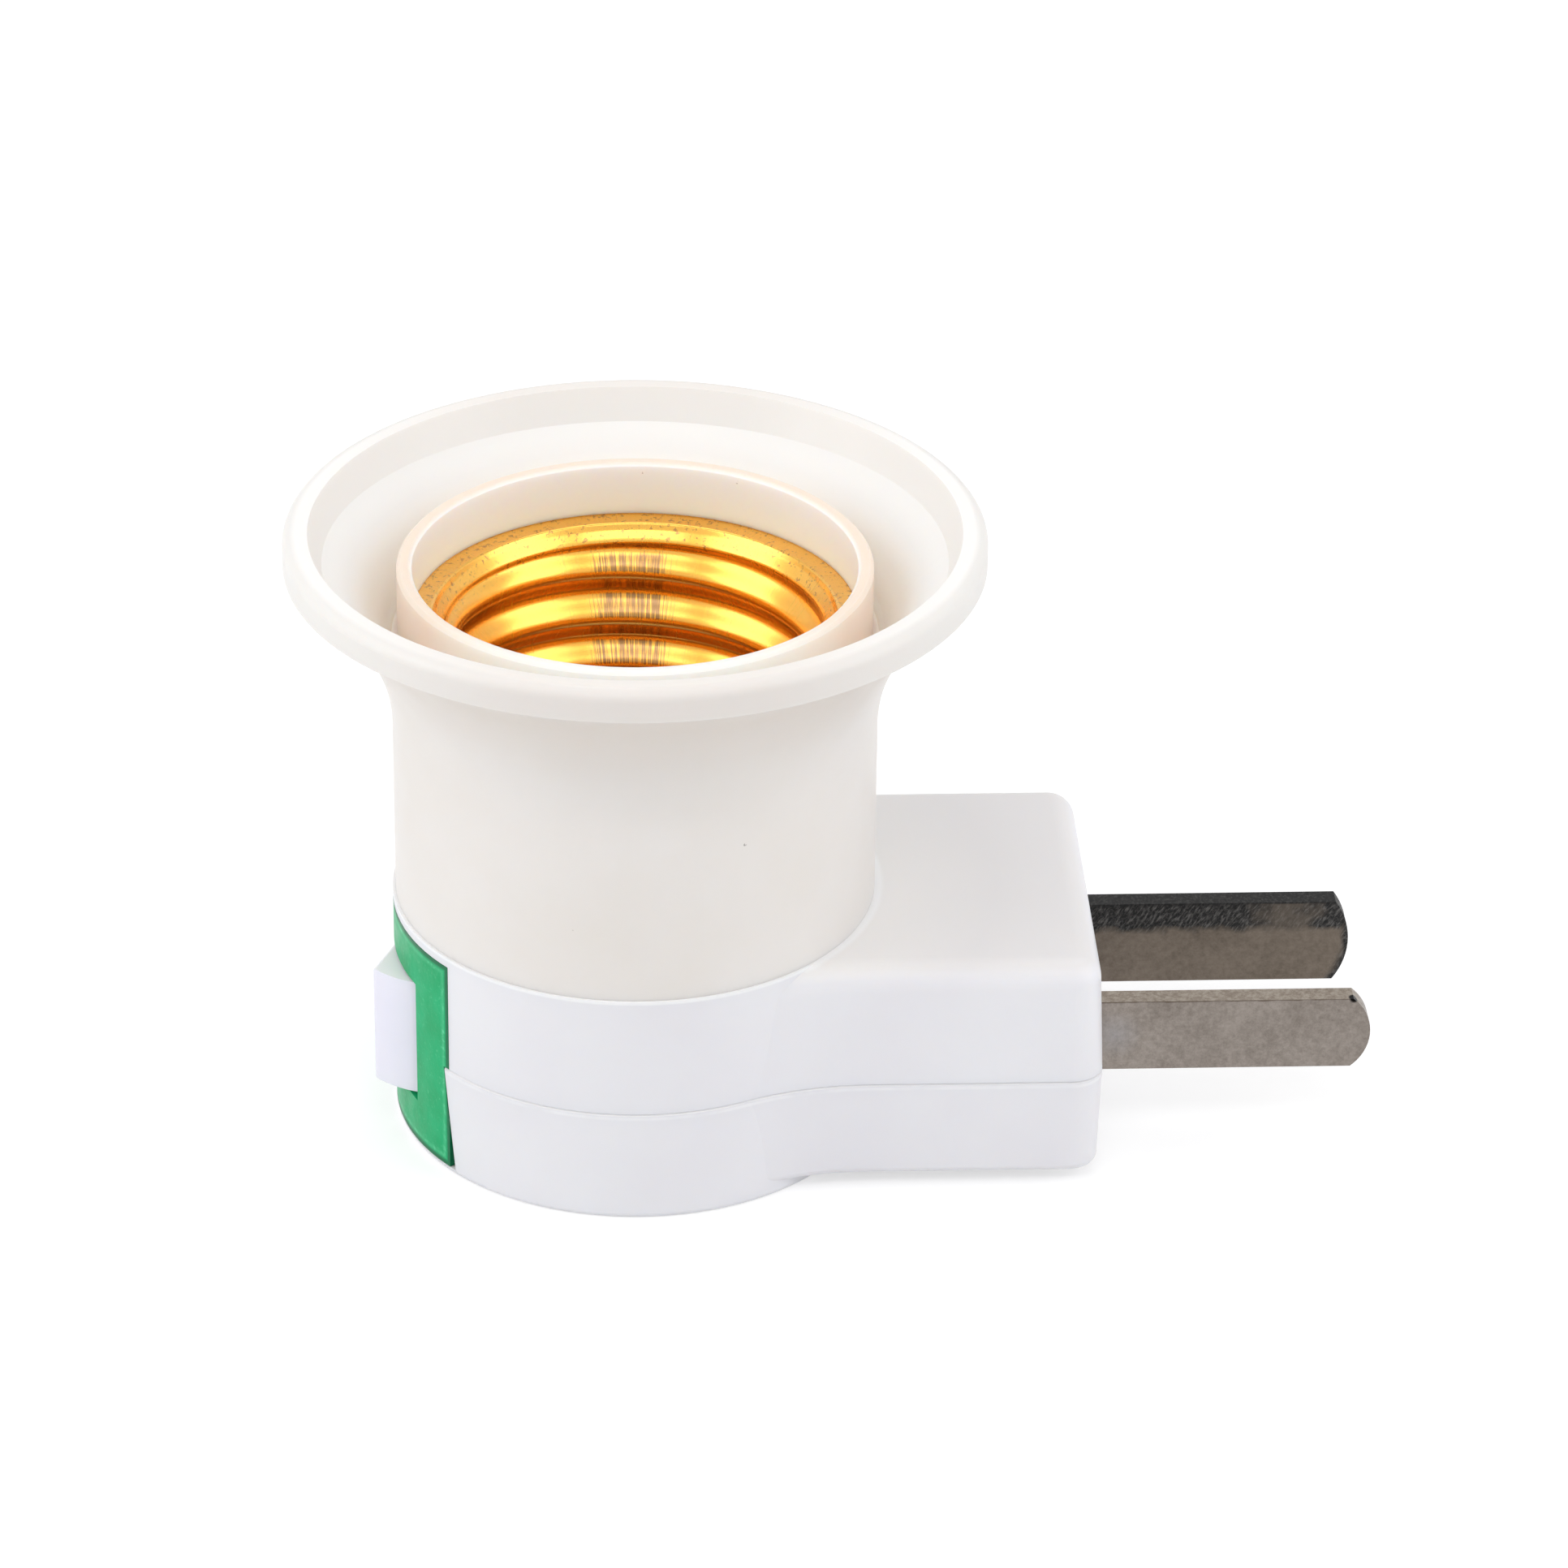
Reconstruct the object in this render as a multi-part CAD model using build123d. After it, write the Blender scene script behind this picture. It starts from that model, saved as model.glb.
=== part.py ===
from build123d import *
import os
from math import atan2, cos, degrees, hypot, radians, sin, sqrt, tan

# Plug-in lamp holder: a screw-cap lamp socket stands on a round switch base with a plug arm.
# Millimetres. Z runs up the lamp axis, +X along the plug arm to the blades, origin at the
# centre of the flat round underside.

# Round base and plug arm
BASE_R = 16.8              # outside radius of the round base
BASE_H = 17.2              # height of the base, where the socket stands
SEAM_Z = 8.3               # parting line of the two housing halves
WALL = 1.5                 # side walls of the housing
FLOOR = 1.6                # floor and roof of the housing
BASE_EDGE_R = 0.5          # rounding of the round underside
SEAM_BEVEL = 0.1           # bevel of each half along the parting line
ARM_HALF = 13.3            # half the width of the plug arm
ARM_END = 31.8             # end face of the arm, from the lamp axis
ARM_UNDER = 1.0            # height of the arm's underside above the round underside
ARM_CORNER_R = 2.2         # upright corners of the arm
ARM_TOP_R = 1.7            # rounding along the arm's top edges
ARM_UNDER_R = 0.6          # rounding along the arm's bottom edges
FLARE_R = 20.0             # hollow curve that leads the arm's sides into the round base
DRAFT_UP = 2.5             # draft of the upper half of the arm, degrees
DRAFT_DOWN = 1.5           # draft of the lower half of the arm, degrees

# Socket body
TUBE_R = 16.6              # outside radius of the tube
TUBE_WALL = 1.5            # its wall
FLARE_START = 30.0         # height where the trumpet leaves the tube
TRUMPET_R = 14.0           # curve of the trumpet's outside
TRUMPET_TURN = 57.0        # how far that curve turns, degrees
TRUMPET_WALL = 1.45        # wall of the trumpet
LIP_R = 23.8               # outside radius of the lip
LIP_TOP = 44.5             # top of the lip
LIP_ROUND = 0.8            # rounding of the lip's outer top edge
LIP_BAND = 0.9             # width of the lip's flat top
LIP_BAND_DROP = 2.25       # height of the steep band inside the lip
GROOVE_Z = 36.7            # bottom of the groove between trumpet and ring
GROOVE_FLAT = 0.4          # width of that bottom
GROOVE_RISE = 0.5          # bevel between it and the trumpet
RING_WALL = 1.05           # wall of the ring round the mouth
RING_TOP = 41.9            # top of that ring
RING_EDGE = 0.25           # bevel of the ring's edges
LEDGE_H = 1.2              # height of the ledge under the shell's rim

# Screw shell, for an E27 lamp cap
PITCH = 3.629              # thread pitch, seven turns to the inch
THREAD_MAJOR = 13.3        # inside radius over the thread's crests
THREAD_MINOR = 12.2        # inside radius at its roots
THREAD_LAND = 0.06         # half the plain land between two turns
THREAD_SINK = 0.05         # how far the ridge's hollow feet start inside the core
CREST_DROP = 2.3           # the turn's crest on the +X side, below the shell's foot
SHEET = 0.35               # thickness of the shell's sheet
RIM_Z = 37.6               # underside of the rim
RIM_SNAP = 0.1             # how far the rim stands out past the mouth into its seat
FUNNEL_R = 13.7            # inside radius at the top of the funnel under the rim
FUNNEL_FOOT_R = 13.05      # inside radius at the funnel's foot
FUNNEL_H = 0.8             # height of that funnel, below the rim's underside
FOOT_H = 1.2               # plain band above the shell's foot
FOOT_IN = 11.2             # inside radius of the foot, apart from its two lugs
LUG_IN = 6.4               # how far in the lugs reach
LUG_W = 7.0                # width of the lugs
SHELL_SCREW_AT = 9.3       # distance of the shell's screws from the lamp axis

# Contact insulator and the spigot that holds it
SPIGOT_H = 2.4             # height of the spigot over the base
SPIGOT_WALL = 1.5
INSULATOR_H = 2.6

# Centre contact
LEAF = 0.4                 # thickness of the leaf
LEAF_W = 4.4               # its width
LEAF_LEG_X = 9.2           # where its leg goes down, from the lamp axis
LEAF_FOOT = 6.0            # length of its flat foot
LEAF_RISE = 2.8            # height of its crown over the insulator
LEAF_CROWN_X = -0.6        # middle of the crown
LEAF_CROWN_HALF = 1.1      # half the length of the crown
LEAF_CROWN_SAG = 0.25      # height of the crown's middle over its ends
LEAF_LIP_X = 1.2           # length of the turned down end
LEAF_LIP_Z = 0.7           # its drop
LEG_DEPTH = 5.6            # how far the leg reaches below the base's top
LEAF_RIVET_AT = 0.5        # place of its rivet along the foot, as a share of its length
RIVET_SHANK_R = 0.8
RIVET_HEAD_R = 1.3
RIVET_HEAD_H = 0.6

# Blades of the two-pin plug
BLADE_GAP = 12.7           # centre to centre
BLADE_T = 1.5              # thickness
LIVE_W = 5.4               # width of the front blade
NEUTRAL_W = 6.3            # width of the back blade
BLADE_TIP = 50.75          # tip, from the lamp axis
BLADE_ROOT = 20.5          # inner end
LIVE_TIP_R = 3.5           # curve of the front blade's rounded tip
NEUTRAL_TIP_R = 5.4        # curve of the back blade's rounded tip
BLADE_NOTCH = 0.8          # depth of the notches that the rib holds
RIB_X = 25.6               # rib that holds the blades, its face nearest the lamp axis
RIB_T = 1.4

# Switch
BEZEL_HALF_ANGLE = 39.0    # half the angle that the bezel covers, degrees
WINDOW_GAP = 0.15          # gap at each side of the bezel, degrees
BEZEL_BOTTOM = 0.5         # lower edge of the bezel's window
BEZEL_DROP = 0.7           # upper edge of that window, below the base's top
BEZEL_FLANGE = 5.0         # flange behind the housing wall at each side, degrees
BEZEL_FLANGE_T = 1.25
BEZEL_JOINED = 3.0         # margin beside the joined part of plate and flange, degrees
KEEPER_ANGLE = 4.0         # ribs behind the bezel, past its flange, degrees
KEEPER_GAP = 0.6           # gap between flange and rib, degrees
KEEPER_LAP = 2.0           # lap of the rib's hook over the flange, degrees
ROCKER_H = 8.8             # height of the rocker
ROCKER_PIVOT_X = -13.0     # pivot, from the lamp axis
ROCKER_R = 6.8             # ends of the rocker, from its pivot
ROCKER_CENTRE = 3.2        # middle of its face, out from the pivot
ROCKER_TILT = 11.5         # tilt to each side, which is also the slope of each half face
ROCKER_DEPTH = 1.2         # how far it reaches behind the pivot
ROCKER_WALL = 1.2
ROCKER_EDGE_R = 0.3
OPENING_GAP = 0.2          # gap round the rocker
OPENING_FOOT_GAP = 0.35    # gap under it
WELL_WALL = 1.0            # wall of the well behind the opening
WELL_DEPTH = 2.6           # how far the well reaches behind the pivot
PIVOT_R = 1.1
EDGE_LEAN = 0.54           # lean of the window's lower front edge, at its ends
PLUNGER_R = 1.4
PLUNGER_TIP_R = 0.85
PLUNGER_REACH = 5.0        # centre of the plunger's tip, in from the pivot
PLUNGER_NECK = 0.9         # length of its thinner nose
PLUNGER_TOP = 0.4          # open end of the plunger, in from the pivot
PLUNGER_WALL = 0.4
BORE_TOP = 1.4             # end of the bore, out from the pivot
BORE_BOSS_WALL = 0.9
BORE_BOSS_DEPTH = 2.6
SPRING_WIRE_R = 0.16
SPRING_TURNS = 4

# Contacts
SEESAW_T = 0.6             # thickness of the see-saw contact
SEESAW_HALF = 5.2          # half its length
SEESAW_H = 4.6             # its height
SEESAW_TILT = 8.0          # tilt to each side, degrees
SEESAW_KNUCKLE_R = 0.6     # rounded knuckle that it rocks on
SEESAW_STAND = 0.25        # plate's inner face, out from the knuckle's axis
TIP_AT = 4.3               # place of the contact rivets, from the middle
TIP_R = 1.2
TIP_T = 0.5
CONTACT_GAP = 0.06         # gap of closed contacts
PLATE_T = 0.8              # thickness of the terminal plates
PLATE_STAND = 1.6          # terminal plates, in from the see-saw's axis
PLATE_LIFT = 1.4           # lower edge of the terminal plates, above the floor
PLATE_DROP = 1.8           # their upper edge, below the roof
COMMON_FROM = -5.9         # common terminal, along Y
COMMON_TO = 1.3
OUTPUT_FROM = 3.1          # output terminal, along Y
OUTPUT_TO = 7.7
GRIP = 1.0                 # depth of the housing's grip on the plates' ends
GRIP_WALL = 1.0            # wall on each side of that grip
SADDLE_HALF = 1.2
SADDLE_H = 3.4

# Screws
HOUSING_SCREW_RING = 12.6  # distance of the two rear screws from the lamp axis
HOUSING_SCREW_ANGLE = 59.0 # their angle from the plug arm, degrees
HOUSING_SCREW_X = 23.2     # third screw, between the blades
SCREW_HEAD_R = 2.1
SCREW_HEAD_H = 1.4
SCREW_R = 1.1
SCREW_SEAT = 3.0           # height of the seats of the heads
SCREW_SHORT = 2.6          # end of the screws, below the roof
SHELL_SCREW_HEAD_R = 2.2
SHELL_SCREW_HEAD_H = 1.5
SHELL_SCREW_R = 1.4
SHELL_SCREW_LENGTH = 8.6   # below the head
SHELL_BOSS_H = 5.0         # boss under the roof for the screw without a terminal
HEAD_EDGE = 0.45           # bevel of the heads of screws and rivet
SLOT_W = 0.6               # slot in the screw heads
SLOT_D = 0.6
BOSS_WALL = 1.2

# Shell terminal and leads
TERMINAL_HALF = 2.6        # half the width of the shell's terminal plate
TERMINAL_OUT = 2.9         # how far it reaches out past its screw
TAB_HALF = 2.0
TAB_DROP = 4.4
LEAD_R = 0.9               # radius of the insulated leads
LEAD_BEND_R = 2.2
LEAD_LOW = 5.2             # height of the low stretch of the live lead
LEAD_LEVEL_X = 15.0        # where the leads leave the level of the blades
LEAD_RUN_X = 9.3           # where they reach the level of their terminals
SWITCHED_Z = 5.4           # height where the switched lead starts
SWITCHED_TURN_X = 1.8      # where it turns towards the centre contact
TAB_SOLDER = 1.2           # soldered end of the neutral lead, above the tab's end
LEG_SOLDER = 2.4           # soldered end of the switched lead, above the leg's end
SLACK = 0.3                # free play at a bend

# Fits
FIT = 0.05                 # fixed parts that seat in one another
CLEAR = 0.1                # parts that slide or turn in one another

# Places that follow from the sizes above
ROOF_UNDER = BASE_H - FLOOR
BEZEL_TOP = BASE_H - BEZEL_DROP
ROCKER_Z = (BEZEL_BOTTOM + BEZEL_TOP) / 2
PLATE_BOTTOM = FLOOR + PLATE_LIFT
PLATE_TOP = ROOF_UNDER - PLATE_DROP
SCREW_END = ROOF_UNDER - SCREW_SHORT
ARM_FLOOR = ARM_UNDER + FLOOR
BORE_R = TUBE_R - TUBE_WALL
RING_R = BORE_R + RING_WALL
RIM_TOP = RIM_Z + SHEET
RIM_R = BORE_R + RIM_SNAP
RIM_SEAT_R = RIM_R + CLEAR
LEDGE_R = FUNNEL_R + SHEET + CLEAR
INSULATOR_TOP = BASE_H + INSULATOR_H
SPIGOT_R = BORE_R - CLEAR
INSULATOR_R = SPIGOT_R - SPIGOT_WALL - CLEAR
LUG_TOP = INSULATOR_TOP + SHEET
BLADE_Y = BLADE_GAP / 2
PLATE_INSIDE = BASE_R - WALL
SEESAW_X = (ROCKER_PIVOT_X + PLUNGER_REACH + PLUNGER_TIP_R + CLEAR
            + SEESAW_T + SEESAW_STAND)
PLATE_X = SEESAW_X + PLATE_STAND
WELL_HALF = ROCKER_R + OPENING_GAP
OPENING_LOW = ROCKER_Z - ROCKER_H / 2 - OPENING_FOOT_GAP
OPENING_HIGH = ROCKER_Z + ROCKER_H / 2 + OPENING_GAP
LEAD_Y = BLADE_Y - BLADE_T / 2 - LEAD_R - FIT
TERMINAL_TOP = ROOF_UNDER - FIT
LEAF_FOOT_X = LEAF_LEG_X - LEAF_FOOT
LEAF_RIVET_X = LEAF_FOOT_X + LEAF_FOOT * LEAF_RIVET_AT
SCREW_BOSS_R = SCREW_HEAD_R + CLEAR + BOSS_WALL
PILOT_BOSS_R = SCREW_R + 2 * BOSS_WALL


def rod(radius, bottom, top, x=0.0, y=0.0):
    """Upright round bar."""
    low = (Align.CENTER, Align.CENTER, Align.MIN)
    return Pos(x, y, bottom) * Cylinder(radius, top - bottom, align=low)


def block(x0, x1, y0, y1, z0, z1):
    """Square block between two corners."""
    return Pos(x0, y0, z0) * Box(x1 - x0, y1 - y0, z1 - z0, align=(Align.MIN,) * 3)


def ring(outer, inner, bottom, top):
    return rod(outer, bottom, top) - rod(inner, bottom, top)


def sector(inner, outer, half_angle, bottom, top):
    """Piece of a tube wall, centred on the switch side."""
    sweep_angle = 2 * half_angle
    start = 180 - half_angle
    out = CenterArc((0, 0), outer, start, sweep_angle)
    back = CenterArc((0, 0), inner, start, sweep_angle)
    sides = [Line(out @ 0, back @ 0), Line(out @ 1, back @ 1)]
    face = Pos(0, 0, bottom) * make_face([out, back, *sides])
    return extrude(face, top - bottom, dir=(0, 0, 1))


def strip(points, thickness, width):
    """Sheet strip bent along points in the XZ plane, its width along Y.

    The points run along one face of the sheet, and its thickness lies to their left.
    """
    pairs = list(zip(points, points[1:]))
    normals = []
    for (x0, z0), (x1, z1) in pairs:
        length = hypot(x1 - x0, z1 - z0)
        normals.append((-(z1 - z0) / length, (x1 - x0) / length))
    other = []
    for i, (x, z) in enumerate(points):
        before = normals[max(i - 1, 0)]
        after = normals[min(i, len(normals) - 1)]
        nx, nz = before[0] + after[0], before[1] + after[1]
        scale = 2 * thickness / (nx * nx + nz * nz)
        other.append((x + nx * scale, z + nz * scale))
    corners = [(x, 0, z) for x, z in points + other[::-1]]
    face = make_face([Line(a, b) for a, b in zip(corners, corners[1:] + corners[:1])])
    return extrude(face, width / 2, dir=(0, 1, 0), both=True)


def lead(points, bend=LEAD_BEND_R):
    """Insulated lead along straight runs joined by tangent arcs."""
    corners = [Vector(*p) for p in points]
    path = []
    start = corners[0]
    for before, corner, after in zip(corners, corners[1:], corners[2:]):
        into = (corner - before).normalized()
        out = (after - corner).normalized()
        half_turn = radians(into.get_angle(out)) / 2
        setback = bend * tan(half_turn)
        first = corner - into * setback
        last = corner + out * setback
        inward = (out - into).normalized()
        middle = corner + inward * (bend / cos(half_turn) - bend)
        path += [Line(start, first), ThreePointArc(first, middle, last)]
        start = last
    path.append(Line(start, corners[-1]))
    wire = Wire([edge for piece in path for edge in piece.edges()])
    section = Plane(origin=corners[0], z_dir=corners[1] - corners[0]) * Circle(LEAD_R)
    return sweep(section, path=wire)


# Housing

def arm_outline(inset=0.0):
    """Plan of the plug arm, its sides tangent to the round base."""
    half = ARM_HALF - inset
    end = ARM_END - inset
    corner = ARM_CORNER_R - inset
    flare = FLARE_R + inset
    centre_y = ARM_HALF + FLARE_R
    centre_x = sqrt((BASE_R + FLARE_R) ** 2 - centre_y ** 2)
    turn = degrees(atan2(centre_x, centre_y))
    near = CenterArc((centre_x, -centre_y), flare, 90, turn)
    far = CenterArc((centre_x, centre_y), flare, 270 - turn, turn)
    near_corner = CenterArc((end - corner, -half + corner), corner, -90, 90)
    far_corner = CenterArc((end - corner, half - corner), corner, 0, 90)
    return make_face([
        near,
        Line(near @ 0, near_corner @ 0),
        near_corner,
        Line(near_corner @ 1, far_corner @ 0),
        far_corner,
        Line(far_corner @ 1, far @ 1),
        far,
        Line(far @ 0, near @ 1),
    ])


def drafted_arm(inset, level, draft):
    """Arm from the seam to a level above or below it, narrowing by the draft angle."""
    narrowing = abs(level - SEAM_Z) * tan(radians(draft))
    at_seam = Pos(0, 0, SEAM_Z) * arm_outline(inset)
    at_level = Pos(0, 0, level) * arm_outline(inset + narrowing)
    return loft([at_seam, at_level], ruled=True)


def outer_rim(arm, level):
    """Edges of the arm at one level, apart from the one inside the round base."""
    flat = [e for e in arm.edges() if abs(e.center().Z - level) < FIT and e.length < ARM_END]
    return [e for e in flat if e.bounding_box().max.X > BASE_R / 2]


def finished_arm(level, draft, rounding):
    """Drafted arm with rounded edges at its level and a fine bevel along the seam."""
    arm = drafted_arm(0, level, draft)
    arm = fillet(outer_rim(arm, level), rounding)
    return chamfer(outer_rim(arm, SEAM_Z), SEAM_BEVEL)


def screw_places():
    """Places of the three screws that hold the housing together."""
    x = HOUSING_SCREW_RING * cos(radians(HOUSING_SCREW_ANGLE))
    y = HOUSING_SCREW_RING * sin(radians(HOUSING_SCREW_ANGLE))
    return [(x, y), (x, -y), (HOUSING_SCREW_X, 0)]


def blades():
    """Place and width of each blade."""
    return [(-BLADE_Y, LIVE_W), (BLADE_Y, NEUTRAL_W)]


def blade_slots():
    """Room for the blades in the end wall and in the rib, cut from both halves."""
    cut = Part()
    for y, width in blades():
        side = BLADE_T / 2 + FIT
        tall = width / 2 + FIT
        notched = tall - BLADE_NOTCH
        cut += block(ARM_END - WALL * 2, ARM_END + WALL, y - side, y + side,
                     SEAM_Z - tall, SEAM_Z + tall)
        cut += block(RIB_X - WALL, RIB_X + RIB_T + FIT, y - side, y + side,
                     SEAM_Z - notched, SEAM_Z + notched)
    return cut


def window():
    """Recess for the switch bezel in the outside of the round base."""
    return sector(PLATE_INSIDE - CLEAR, BASE_R + WALL, BEZEL_HALF_ANGLE + WINDOW_GAP,
                  BEZEL_BOTTOM, BEZEL_TOP)


def bezel_keepers(bottom, top):
    """Ribs at both sides that keep the bezel's flanges against the wall."""
    limit = BEZEL_HALF_ANGLE + BEZEL_FLANGE
    inner = PLATE_INSIDE - CLEAR - BEZEL_FLANGE_T
    reach = limit + KEEPER_ANGLE
    stop = sector(inner - CLEAR, PLATE_INSIDE + FIT, reach, bottom, top)
    stop -= sector(CLEAR, BASE_R, limit + KEEPER_GAP, bottom, top)
    hook = sector(inner - CLEAR - WALL, inner - CLEAR, reach, bottom, top)
    hook -= sector(CLEAR, BASE_R, limit - KEEPER_LAP, bottom, top)
    return stop + hook


def terminal_plates():
    """Extent of the common and the output terminal along Y."""
    return [(COMMON_FROM, COMMON_TO), (OUTPUT_FROM, OUTPUT_TO)]


def terminal_ribs(bottom, top):
    """Ribs that grip the ends of the two terminal plates, before their grooves are cut."""
    ribs = Part()
    for start, end in terminal_plates():
        ribs += block(PLATE_X - GRIP_WALL, PLATE_X + PLATE_T + GRIP_WALL, start, end, bottom, top)
    return ribs


def terminal_grooves(bottom, top):
    cut = Part()
    for start, end in terminal_plates():
        cut += block(PLATE_X - FIT, PLATE_X + PLATE_T + FIT, start - FIT, end + FIT, bottom, top)
    return cut


def lower_housing():
    outside = rod(BASE_R, 0, SEAM_Z)
    outside = fillet(outside.edges().group_by(Axis.Z)[0], BASE_EDGE_R)
    outside = chamfer(outside.edges().group_by(Axis.Z)[-1], SEAM_BEVEL)
    outside += finished_arm(ARM_UNDER, DRAFT_DOWN, ARM_UNDER_R)
    hollow = rod(PLATE_INSIDE, FLOOR, SEAM_Z) + drafted_arm(WALL, ARM_FLOOR, DRAFT_DOWN)
    shell = outside - hollow
    for x, y in screw_places():
        shell += rod(SCREW_BOSS_R, ARM_UNDER + FIT, SEAM_Z, x, y)
    rib = block(RIB_X, RIB_X + RIB_T, -ARM_HALF + WALL / 2, ARM_HALF - WALL / 2,
                ARM_FLOOR - FIT, SEAM_Z)
    shell += rib
    shell += bezel_keepers(FLOOR - FIT, SEAM_Z)
    shell += terminal_ribs(FLOOR - FIT, PLATE_BOTTOM + GRIP)
    shell -= window() - edge_lap(PLATE_INSIDE - CLEAR)
    shell -= edge_slit()
    shell -= blade_slots()
    for x, y in screw_places():
        shell -= rod(SCREW_HEAD_R + CLEAR, -1, SCREW_SEAT, x, y)
        shell -= rod(SCREW_R + CLEAR, -1, SEAM_Z, x, y)
    return shell - terminal_grooves(PLATE_BOTTOM - FIT, SEAM_Z)


def leaning_wedge(points, inner):
    """Wedge through the wall at the window's lower front edge.

    Its points give the distance from that edge, towards the bezel, and the height. It reaches
    out from the inner radius.
    """
    corners = [(0, y, z) for y, z in points]
    face = make_face([Line(a, b) for a, b in zip(corners, corners[1:] + corners[:1])])
    wedge = extrude(face, WALL * 2, dir=(-1, 0, 0))
    return Rot(0, 0, BEZEL_HALF_ANGLE + WINDOW_GAP) * Pos(-inner, 0, 0) * wedge


def edge_lap(inner, clear=0.0):
    """Where the leaning edge laps over the bezel, next to the seam."""
    middle = (SEAM_Z + BEZEL_BOTTOM) / 2
    reach = EDGE_LEAN + clear
    points = [(-WALL, SEAM_Z + clear), (reach, SEAM_Z + clear), (clear, middle), (-WALL, middle)]
    return leaning_wedge(points, inner)


def edge_slit():
    """Where the leaning edge leaves a gap beside the bezel, at the foot."""
    middle = (SEAM_Z + BEZEL_BOTTOM) / 2
    points = [(WALL, middle), (0, middle), (-EDGE_LEAN, BEZEL_BOTTOM), (WALL, BEZEL_BOTTOM)]
    return leaning_wedge(points, PLATE_INSIDE - CLEAR)


def upper_housing():
    outside = rod(BASE_R, SEAM_Z, BASE_H)
    outside = chamfer(outside.edges().group_by(Axis.Z)[0], SEAM_BEVEL)
    outside += finished_arm(BASE_H, DRAFT_UP, ARM_TOP_R)
    hollow = rod(PLATE_INSIDE, SEAM_Z, ROOF_UNDER) + drafted_arm(WALL, ROOF_UNDER, DRAFT_UP)
    shell = outside - hollow
    shell += ring(SPIGOT_R, INSULATOR_R + CLEAR, BASE_H - FIT, BASE_H + SPIGOT_H)
    for x, y in screw_places():
        shell += rod(PILOT_BOSS_R, SEAM_Z, ROOF_UNDER + FIT, x, y)
    shell += rod(SHELL_SCREW_R + BOSS_WALL, ROOF_UNDER - SHELL_BOSS_H, ROOF_UNDER + FIT,
                 0, -SHELL_SCREW_AT)
    shell += block(RIB_X, RIB_X + RIB_T, -ARM_HALF + WALL, ARM_HALF - WALL,
                   SEAM_Z, ROOF_UNDER + FIT)
    shell += bezel_keepers(SEAM_Z, ROOF_UNDER + FIT)
    shell += terminal_ribs(PLATE_TOP - GRIP, ROOF_UNDER + FIT)
    shell -= window()
    shell -= blade_slots()
    for x, y in screw_places():
        shell -= rod(SCREW_R + FIT, SEAM_Z, SCREW_END + FIT, x, y)
    for y in (-SHELL_SCREW_AT, SHELL_SCREW_AT):
        shell -= rod(SHELL_SCREW_R + FIT, SEAM_Z, BASE_H + FIT, 0, y)
    shell -= leg_slot(ROOF_UNDER - FIT, BASE_H + FIT)
    return shell - terminal_grooves(SEAM_Z, PLATE_TOP + FIT)


def leg_slot(bottom, top):
    """Slot that the centre contact's leg passes through."""
    half = LEAF_W / 2 + CLEAR
    return block(LEAF_LEG_X - CLEAR, LEAF_LEG_X + LEAF + CLEAR, -half, half, bottom, top)


def housing_screws():
    screws = Part()
    for x, y in screw_places():
        head = rod(SCREW_HEAD_R, SCREW_SEAT - SCREW_HEAD_H, SCREW_SEAT, x, y)
        head = chamfer(head.edges().group_by(Axis.Z)[0], HEAD_EDGE)
        screw = head + rod(SCREW_R, SCREW_SEAT - FIT, SCREW_END, x, y)
        low = SCREW_SEAT - SCREW_HEAD_H
        long, short = SCREW_HEAD_R * 0.6, SLOT_W / 2
        screw -= block(x - long, x + long, y - short, y + short, low, low + SLOT_D)
        screw -= block(x - short, x + short, y - long, y + long, low, low + SLOT_D)
        screws += screw
    return screws


# Socket

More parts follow.
